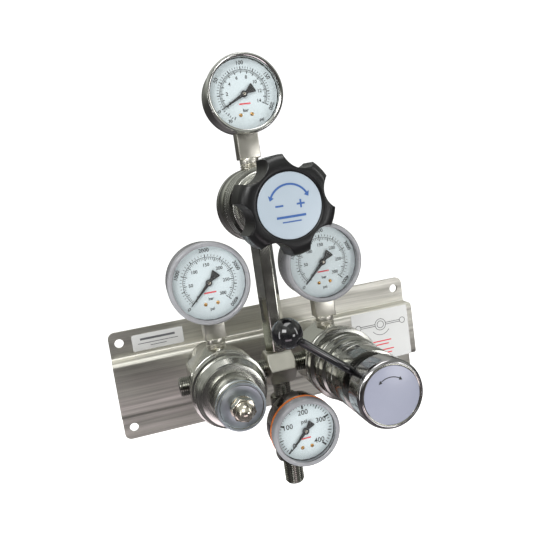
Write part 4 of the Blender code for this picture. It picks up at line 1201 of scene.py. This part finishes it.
def build_bezel(name):
    """Rolled rim; the top gauge's is slimmer."""
    back, front = outs(name + "_bezel")
    radius = gauge_radius(name)
    lip = radius - BEZEL_LIP
    inside = radius - 0.0009
    inner = front - 0.0010
    roll = [(lip, inner), (lip, front - 0.0006), (lip + 0.0008, front), (lip + 0.0016, front),
            (radius - 0.0010, front - 0.0002)]
    if name == "top_gauge":
        roll = [(lip + 0.0004, inner), (lip + 0.0004, front - 0.0007),
                (lip + 0.0014, front - 0.0001), (radius - 0.0009, front)]
    spun(name + "_ring", rim_finish(name), axis_stand(name + "_bezel"),
         roll + [(radius, front - 0.0014), (radius, back + 0.0012), (radius - 0.0003, back),
                 (inside, back), (inside, inner)], 0.0006, True, replaced=(name + "_bezel",))


def tick(bm, face, angle, inner, outer, width):
    way = (math.cos(angle), math.sin(angle))
    stroke(bm, [(way[0] * inner, way[1] * inner), (way[0] * outer, way[1] * outer)], width,
           face)


def scale(bm, face, outer, zero, sweep, divisions, every, long, short, width, bold):
    """Ticks clockwise from zero, a longer and bolder one at every few."""
    for index in range(divisions + 1):
        angle = zero - sweep * index / divisions
        major = index % every == 0
        tick(bm, face, angle, outer - (long if major else short), outer,
             bold if major else width)


def numbers(bm, face, radius, zero, sweep, words, size, follow=False):
    """Figures along a scale, upright or following its curve."""
    for index, word in enumerate(words):
        angle = zero - sweep * index / (len(words) - 1)
        lean = angle - math.pi / 2 if follow else 0.0
        figures(bm, word, size, (radius * math.cos(angle), radius * math.sin(angle)), face, lean)


def paired_scales(bm, face, edge, zero, sweep, outside, inside, divisions):
    """A ring with ticks and figures outside it, and finer ticks and figures inside."""
    ring = edge * 0.70
    scale(bm, face, ring + 0.0019, zero, sweep, divisions[0], 5, 0.0019, 0.0012, 0.00032,
          0.00058)
    stroke(bm, arc(ring, zero, zero - sweep, 72), 0.00032, face)
    numbers(bm, face, edge * 0.885, zero, sweep, outside, 0.0034, True)
    scale(bm, face, ring - 0.0004, zero, sweep, divisions[1], 5, 0.0020, 0.0012, 0.00030,
          0.00052)
    numbers(bm, face, edge * 0.49, zero, sweep, inside, 0.0030)


def build_side_marks(bm, face, edge):
    paired_scales(bm, face, edge, ZERO, DIAL_SWEEP, ("0", "1000", "2000", "3000", "4000"),
                  ("0", "50", "100", "150", "200", "250", "300"), (40, 60))
    figures(bm, "bar", 0.0026, (0, -edge * 0.44), face)
    figures(bm, "psi", 0.0028, (0, -edge * 0.72), face)


def build_top_marks(bm, face, edge):
    sweep = math.radians(236)
    paired_scales(bm, face, edge, TOP_ZERO, sweep, ("0", "50", "100", "150", "200"),
                  ("0", "2", "4", "6", "8", "10", "12", "14"), (40, 70))
    scale(bm, face, edge * 0.70 + 0.0019, ZERO + math.radians(17), math.radians(34), 6, 3,
          0.0019, 0.0012, 0.00032, 0.00052)
    figures(bm, "30", 0.0028, (-edge * 0.50, -edge * 0.72), face)
    figures(bm, "bar", 0.0028, (0, -edge * 0.46), face)
    figures(bm, "psi", 0.0028, (edge * 0.44, -edge * 0.76), face)


def build_low_marks(bm, face, edge):
    scale(bm, face, edge * 0.95, ZERO, DIAL_SWEEP, 40, 10, 0.0034, 0.0018, 0.00038, 0.00110)
    scale(bm, face, edge * 0.95, ZERO, DIAL_SWEEP, 8, 2, 0.0034, 0.0026, 0.00055, 0.00110)
    numbers(bm, face, edge * 0.64, ZERO, DIAL_SWEEP, ("0", "100", "200", "300", "400"), 0.0046)
    figures(bm, "psi", 0.0038, (0, edge * 0.32), face)


MARKS = {"left_gauge": build_side_marks, "right_gauge": build_side_marks,
         "top_gauge": build_top_marks, "low_gauge": build_low_marks}


def build_dial(name):
    """Scale, pins and finish of the dial; the plate is the frame's own disc."""
    dress(name + "_dial", enamel())
    dress(name + "_window", clear_window())
    front = outs(name + "_dial")[1]
    spot = middle(name + "_dial")
    face = stand_at((spot.x, -front - INK_LIFT, spot.z))
    edge = gauge_radius(name) - BEZEL_LIP
    bm = bmesh.new()
    MARKS[name](bm, face, edge)
    finish_piece(bm, name + "_scale", ink(*BLACK_INK))
    bm = bmesh.new()
    bar = edge * 0.17
    stroke(bm, [(-bar, -edge * 0.27), (bar, -edge * 0.27)], 0.0009, face)
    finish_piece(bm, name + "_red_bar", ink(*RED_INK))
    bm = bmesh.new()
    for side in (-1, 1):
        pin = stand_at((spot.x + side * bar, -front, spot.z - edge * 0.58))
        turn(bm, [(0, -0.0002), (PIN_R, -0.0002), (PIN_R, 0.0003), (PIN_R - 0.0004, 0.0006),
                  (0, 0.0007)], pin, 0.0002, sides=32)
    finish_piece(bm, name + "_pins", brass("warm_brass", (0.66, 0.38, 0.13)))
    way = ZERO + 0.05 if name != "top_gauge" else TOP_ZERO + 0.06
    rest = edge * 0.60
    spun(name + "_stop", ink(*BLACK_INK),
         stand_at((spot.x + rest * math.cos(way), -front, spot.z + rest * math.sin(way))),
         [(0, -0.0002), (STOP_R, -0.0002), (STOP_R, 0.0012), (0, 0.0013)], CRISP_EASE,
         sides=24)


def build_pointer(name):
    """Needle with a slim nose and a broad tail, and its pressed hub."""
    front = outs(name + "_dial")[1]
    axis = middle(name + "_bezel")
    base = front + NEEDLE_LIFT
    zero = TOP_ZERO if name == "top_gauge" else ZERO
    stand = stand_at((axis.x, 0, axis.z)) @ Matrix.Rotation(zero, 4, "Z")
    length = gauge_radius(name) * NEEDLE_SHARE
    broad = 0.0024 if name == "low_gauge" else 0.0031
    slim = 0.0011
    half = [(length, 0.00016), (0.35 * length, 0.0008), (0.0015, slim), (-0.15 * length, slim),
            (-0.41 * length, broad), (-0.44 * length, broad * 0.86)]
    bm = bmesh.new()
    plate(bm, half + [(x, -y) for x, y in reversed(half)], base, base + 0.0005, stand)
    turn(bm, [(0, front - 0.006), (0.0008, front - 0.006), (0.0008, base - 0.0002),
              (HUB_R, base - 0.0002), (HUB_R, base + 0.0009), (0.0013, base + 0.0014),
              (0, base + 0.0014)], stand, FINE_EASE, sides=48)
    body = name.replace("_gauge", "_needle")
    finish_piece(bm, name + "_needle", ink("needle_black", (0.012, 0.012, 0.013)),
                 body, (name + "_pointer",))
    spun(name + "_hub", brass(), stand,
         [(0, base + 0.0013), (0.0011, base + 0.0013), (0.0009, base + 0.0018),
          (0, base + 0.0019)], 0.0002, sides=32, body=body)


def build_side_stem(name):
    """Square wrench block between the case and the pipe thread."""
    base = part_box(name + "_stem")[0].z
    spot = middle(name + "_stem")
    axis = middle(name + "_bezel")
    shoulder = base + SOCKET_THREAD_L
    neck = shoulder + SOCKET_NECK_L
    top = axis.z - gauge_radius(name) + 0.0034
    half_w, half_t = STEM_W / 2, STEM_T / 2
    stand = stand_at((axis.x, spot.y, 0), UP)
    bm = bmesh.new()
    block(bm, (axis.x - half_w, spot.y - half_t, neck), (axis.x + half_w, spot.y + half_t, top),
          0.0007)
    turn(bm, [(0, shoulder - 0.0006), (PIPE_R - 0.0003, shoulder - 0.0006),
              (half_t + 0.0008, neck + 0.0004), (0, neck + 0.0004)], stand, 0.0004)
    loft(bm, thread_rings(PIPE_R, base, shoulder), stand, 48)
    finish_piece(bm, name + "_socket", satin_nickel(), replaced=(name + "_stem",))


def build_low_stem():
    name = "low_gauge"
    back = outs(name + "_stem")[0]
    case_back = outs(name + "_case")[0]
    tip = case_back + 0.002
    stand = axis_stand(name + "_case")
    bm = bmesh.new()
    loft(bm, hex_rings(STEM_W, back + BRANCH_ENGAGE, case_back - GAP), stand, 144)
    turn(bm, [(0, back), (STUD_R, back), (STUD_R, tip), (0, tip)], stand)
    finish_piece(bm, name + "_socket", satin_nickel(), replaced=(name + "_stem",))
    build_gasket(stand)


def build_gasket(stand):
    """A thin ring of orange sealing band behind the lower gauge's bezel."""
    inner = gauge_radius("low_gauge") - 0.0011
    outer = inner + 0.0011
    out = outs("low_gauge_bezel")[0] - 0.0020
    spun("low_gauge_band", orange_rubber(), stand,
         [(inner, out), (outer, out), (outer, out + 0.0018), (inner, out + 0.0018)], 0.0004,
         True)


def build_gauges():
    for name in GAUGES:
        build_case(name)
        build_bezel(name)
        build_dial(name)
        build_pointer(name)
    for name in GAUGES[:3]:
        build_side_stem(name)
    build_low_stem()


# ---------------------------------------------------------------- inner pieces

def dress_inner_pieces():
    """Finishes of the pieces that the bodies and bonnets hold."""
    for side in ("left", "right", "top"):
        dress(side + "_diaphragm", bright_rim())
        dress(side + "_poppet", brass())
        dress(side + "_range_spring", spring_wire())
    for node in ("left_spring_button", "top_spring_button"):
        dress(node, brass())
    dress("cam_follower", bright_rim())


# ---------------------------------------------------------------- stage

# The room's colours from straight down (0) to straight up (1)
ROOM_STOPS = ((0.0, (0.30, 0.285, 0.295)), (0.34, (0.19, 0.175, 0.18)),
              (0.45, (0.09, 0.087, 0.088)), (0.53, (0.11, 0.11, 0.10)),
              (0.62, (0.42, 0.43, 0.39)), (0.74, (0.66, 0.68, 0.63)), (1.0, (0.80, 0.82, 0.78)))

# Name, place, size, share of the lamp power and colour
SOFTBOXES = (
    ("key_softbox", (-0.70, -1.05, 0.80), (0.7, 0.5), 1.0, (1, 1, 1)),
    ("fill_softbox", (1.05, -0.75, 0.30), (0.22, 0.9), 0.30, (1, 1, 1)),
    ("front_softbox", (0.60, -1.15, -0.14), (0.34, 0.30), 0.22, (1, 1, 1)),
    ("side_softbox", (-1.1, -0.45, 0.10), (0.16, 0.9), 0.25, (1, 1, 1)),
    ("top_softbox", (0.1, -0.2, 1.2), (0.9, 0.5), 0.55, (1, 1, 1)),
    ("low_softbox", (-0.2, -1.0, -0.60), (0.8, 0.25), 0.16, (1.0, 0.88, 0.95)),
)
LAMP_AIM = (0.0, -0.08, 0.03)


def studio_world():
    """A soft room: bright overhead, dark at eye level and dim below, white behind."""
    world = bpy.data.worlds.new("studio_room")
    bpy.context.scene.world = world
    world.use_nodes = True
    work = Nodes(world.node_tree)
    coords = work.node("TexCoord").outputs["Generated"]
    parts = work.node("SeparateXYZ")
    work.link(coords, parts.inputs["Vector"])
    ramp = work.node("ValToRGB")
    elements = ramp.color_ramp.elements
    while len(elements) < len(ROOM_STOPS):
        elements.new(0.5)
    for element, (position, colour) in zip(elements, ROOM_STOPS):
        element.position = position
        element.color = (*colour, 1.0)
    work.link(work.spread(parts.outputs["Z"], 0.0, 1.0, -1.0, 1.0), ramp.inputs["Fac"])
    patches = work.noise(2.2, coords, 1.0, 0.5)
    dapple = work.node("VectorMath", operation="SCALE")
    work.link(ramp.outputs["Color"], dapple.inputs[0])
    work.link(work.spread(patches, 0.55, 1.20, 0.42, 0.60), dapple.inputs["Scale"])
    mix = work.node("Mix", data_type="RGBA")
    mix.inputs["B"].default_value = (1.3, 1.3, 1.3, 1.0)
    work.link(work.node("LightPath").outputs["Is Camera Ray"], mix.inputs["Factor"])
    work.link(dapple.outputs["Vector"], mix.inputs["A"])
    background = work.tree.nodes["Background"]
    work.link(mix.outputs["Result"], background.inputs["Color"])
    background.inputs["Strength"].default_value = bpy.context.scene.manifold_studio.room_light


def softbox(name, spot, size, power, colour):
    lamp = bpy.data.lights.new(name, "AREA")
    lamp.shape = "RECTANGLE"
    lamp.size, lamp.size_y = size
    lamp.energy = power
    lamp.color = colour
    obj = bpy.data.objects.new(name, lamp)
    bpy.context.scene.collection.objects.link(obj)
    obj.location = spot
    obj.rotation_euler = (Vector(LAMP_AIM) - Vector(spot)).to_track_quat("-Z", "Y").to_euler()


def build_floor(drop):
    bm = bmesh.new()
    bmesh.ops.create_circle(bm, cap_ends=True, segments=96, radius=6.0,
                            matrix=Matrix.Translation((0, 0, drop)))
    mesh = bpy.data.meshes.new("studio_floor")
    bm.to_mesh(mesh)
    bm.free()
    paint = Finish("floor_paint", (0.90, 0.90, 0.90), 0.7, Emission_Strength=0.72,
                   Emission_Color=(1.0, 1.0, 1.0, 1.0))
    cloud = paint.noise(3)
    paint.tint(cloud, (0.89, 0.89, 0.89), (0.91, 0.91, 0.91))
    paint.rough(cloud, 0.66, 0.74)
    mesh.materials.append(paint.bump((cloud, 0.0001)))
    floor = bpy.data.objects.new("studio_floor", mesh)
    floor.visible_glossy = False
    bpy.context.scene.collection.objects.link(floor)
    floor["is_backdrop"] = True


def build_stage():
    settings = bpy.context.scene.manifold_studio
    build_floor(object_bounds()[0][2] - settings.floor_drop)
    studio_world()
    bpy.context.scene.view_settings.view_transform = "Standard"
    for name, spot, size, share, colour in SOFTBOXES:
        softbox(name, spot, size, settings.lamp_power * share, colour)
    camera = bpy.data.cameras.new("studio_camera")
    camera.sensor_width = 36.0
    camera.lens = settings.lens
    camera.clip_start = 0.01
    obj = bpy.data.objects.new("studio_camera", camera)
    bpy.context.scene.collection.objects.link(obj)
    obj.location = settings.camera_spot
    obj.rotation_euler = settings.camera_turn
    bpy.context.scene.camera = obj


# ---------------------------------------------------------------- add-on classes

def colour_setting(label, default, description):
    return FloatVectorProperty(name=label, subtype="COLOR", size=3, min=0, max=1,
                               default=default, description=description)


class ManifoldLooks(bpy.types.PropertyGroup):
    """Sizes and colours of the manifold's surfaces."""
    round_sides: IntProperty(name="Round sides", description="Sides of a turned piece",
                             default=96, min=24, max=256)
    sheet_colour: colour_setting("Bracket steel", (0.66, 0.645, 0.59),
                                 "Colour of the folded bracket")
    plate_colour: colour_setting("Plating", (0.52, 0.52, 0.47),
                                 "Colour of the plated brass pieces")
    satin_colour: colour_setting("Satin plating", (0.66, 0.64, 0.58),
                                 "Colour of the wrench blocks and the cross")
    steel_colour: colour_setting("Turned steel", (0.50, 0.50, 0.465),
                                 "Colour of the bonnets and the drum")
    zinc_colour: colour_setting("Zinc", (0.40, 0.45, 0.48),
                                "Colour of the spring cap's face and the bolts")
    bezel_colour: colour_setting("Bezels", (0.28, 0.28, 0.30),
                                 "Colour of the moulded gauge rims")
    dial_colour: colour_setting("Dials", (0.57, 0.64, 0.67), "Colour of the dial enamel")
    label_colour: colour_setting("Labels", (0.34, 0.395, 0.455), "Colour of the wheel label")


class ManifoldStudio(bpy.types.PropertyGroup):
    """Camera, floor and light."""
    floor_drop: FloatProperty(name="Floor drop", description="Floor below the lowest point",
                              default=0.20, min=0, unit="LENGTH")
    room_light: FloatProperty(name="Room light", description="Strength of the surroundings",
                              default=0.9, min=0)
    lamp_power: FloatProperty(name="Lamp power", description="Power of the main softbox",
                              default=9.0, min=0, unit="POWER")
    lens: FloatProperty(name="Lens", description="Focal length in millimetres",
                        default=41.46, min=10)
    camera_spot: FloatVectorProperty(name="Camera place", description="Where the camera stands",
                                     size=3, unit="LENGTH",
                                     default=(-0.11004, -0.45860, 0.10490))
    camera_turn: FloatVectorProperty(name="Camera turn", description="Which way it looks",
                                     size=3, subtype="EULER", unit="ROTATION",
                                     default=(math.radians(81.72), math.radians(8.14),
                                              math.radians(-15.61)))


class MANIFOLD_OT_bracket(bpy.types.Operator):
    """Folded bracket with smooth bends and drilled holes"""
    bl_idname = "manifold.bracket"
    bl_label = "Bracket"

    def execute(self, context):
        build_bracket()
        return {"FINISHED"}


class MANIFOLD_OT_labels(bpy.types.Operator):
    """Self-adhesive cards on the bracket"""
    bl_idname = "manifold.labels"
    bl_label = "Labels"

    def execute(self, context):
        build_labels()
        return {"FINISHED"}


class MANIFOLD_OT_left_regulator(bpy.types.Operator):
    """Body, bonnet, cap and nut of the fixed regulator"""
    bl_idname = "manifold.left_regulator"
    bl_label = "Left regulator"

    def execute(self, context):
        build_left_regulator()
        return {"FINISHED"}


class MANIFOLD_OT_right_regulator(bpy.types.Operator):
    """Body, drum and end cap of the changeover regulator"""
    bl_idname = "manifold.right_regulator"
    bl_label = "Right regulator"

    def execute(self, context):
        build_right_regulator()
        return {"FINISHED"}


class MANIFOLD_OT_selector(bpy.types.Operator):
    """Collar, lever and ball"""
    bl_idname = "manifold.selector"
    bl_label = "Selector lever"

    def execute(self, context):
        build_selector()
        return {"FINISHED"}


class MANIFOLD_OT_top_regulator(bpy.types.Operator):
    """Body and bonnet of the delivery regulator"""
    bl_idname = "manifold.top_regulator"
    bl_label = "Top regulator"

    def execute(self, context):
        build_top_regulator()
        return {"FINISHED"}


class MANIFOLD_OT_handwheel(bpy.types.Operator):
    """Scalloped wheel and its label"""
    bl_idname = "manifold.handwheel"
    bl_label = "Handwheel"

    def execute(self, context):
        build_handwheel()
        return {"FINISHED"}


class MANIFOLD_OT_pipework(bpy.types.Operator):
    """Nipples, cross, column and tee"""
    bl_idname = "manifold.pipework"
    bl_label = "Pipework"

    def execute(self, context):
        build_pipework()
        return {"FINISHED"}


class MANIFOLD_OT_gauges(bpy.types.Operator):
    """Cases, bezels, dials, needles and stems"""
    bl_idname = "manifold.gauges"
    bl_label = "Gauges"

    def execute(self, context):
        build_gauges()
        return {"FINISHED"}


class MANIFOLD_OT_inner_pieces(bpy.types.Operator):
    """Finishes of the enclosed pieces"""
    bl_idname = "manifold.inner_pieces"
    bl_label = "Inner pieces"

    def execute(self, context):
        dress_inner_pieces()
        return {"FINISHED"}


class MANIFOLD_OT_stage(bpy.types.Operator):
    """Floor, light and camera"""
    bl_idname = "manifold.stage"
    bl_label = "Stage"

    def execute(self, context):
        build_stage()
        return {"FINISHED"}


OPERATORS = (MANIFOLD_OT_bracket, MANIFOLD_OT_labels, MANIFOLD_OT_left_regulator,
             MANIFOLD_OT_right_regulator, MANIFOLD_OT_selector, MANIFOLD_OT_top_regulator,
             MANIFOLD_OT_handwheel, MANIFOLD_OT_pipework, MANIFOLD_OT_gauges,
             MANIFOLD_OT_inner_pieces, MANIFOLD_OT_stage)


class MANIFOLD_PT_sidebar(bpy.types.Panel):
    """Lists the pieces in the order they are built"""
    bl_idname = "MANIFOLD_PT_sidebar"
    bl_label = "Changeover manifold"
    bl_space_type = "VIEW_3D"
    bl_region_type = "UI"
    bl_category = "Manifold"

    def draw(self, context):
        for operator in OPERATORS:
            self.layout.operator(operator.bl_idname)


CLASSES = (ManifoldLooks, ManifoldStudio, *OPERATORS, MANIFOLD_PT_sidebar)


def register():
    for each in CLASSES:
        bpy.utils.register_class(each)
    bpy.types.Scene.manifold_looks = PointerProperty(type=ManifoldLooks)
    bpy.types.Scene.manifold_studio = PointerProperty(type=ManifoldStudio)


def unregister():
    del bpy.types.Scene.manifold_studio
    del bpy.types.Scene.manifold_looks
    for each in reversed(CLASSES):
        bpy.utils.unregister_class(each)


def main():
    register()
    bpy.ops.manifold.bracket()
    bpy.ops.manifold.labels()
    bpy.ops.manifold.left_regulator()
    bpy.ops.manifold.right_regulator()
    bpy.ops.manifold.selector()
    bpy.ops.manifold.top_regulator()
    bpy.ops.manifold.handwheel()
    bpy.ops.manifold.pipework()
    bpy.ops.manifold.gauges()
    bpy.ops.manifold.inner_pieces()
    bpy.ops.manifold.stage()


if __name__ == "__main__":
    main()
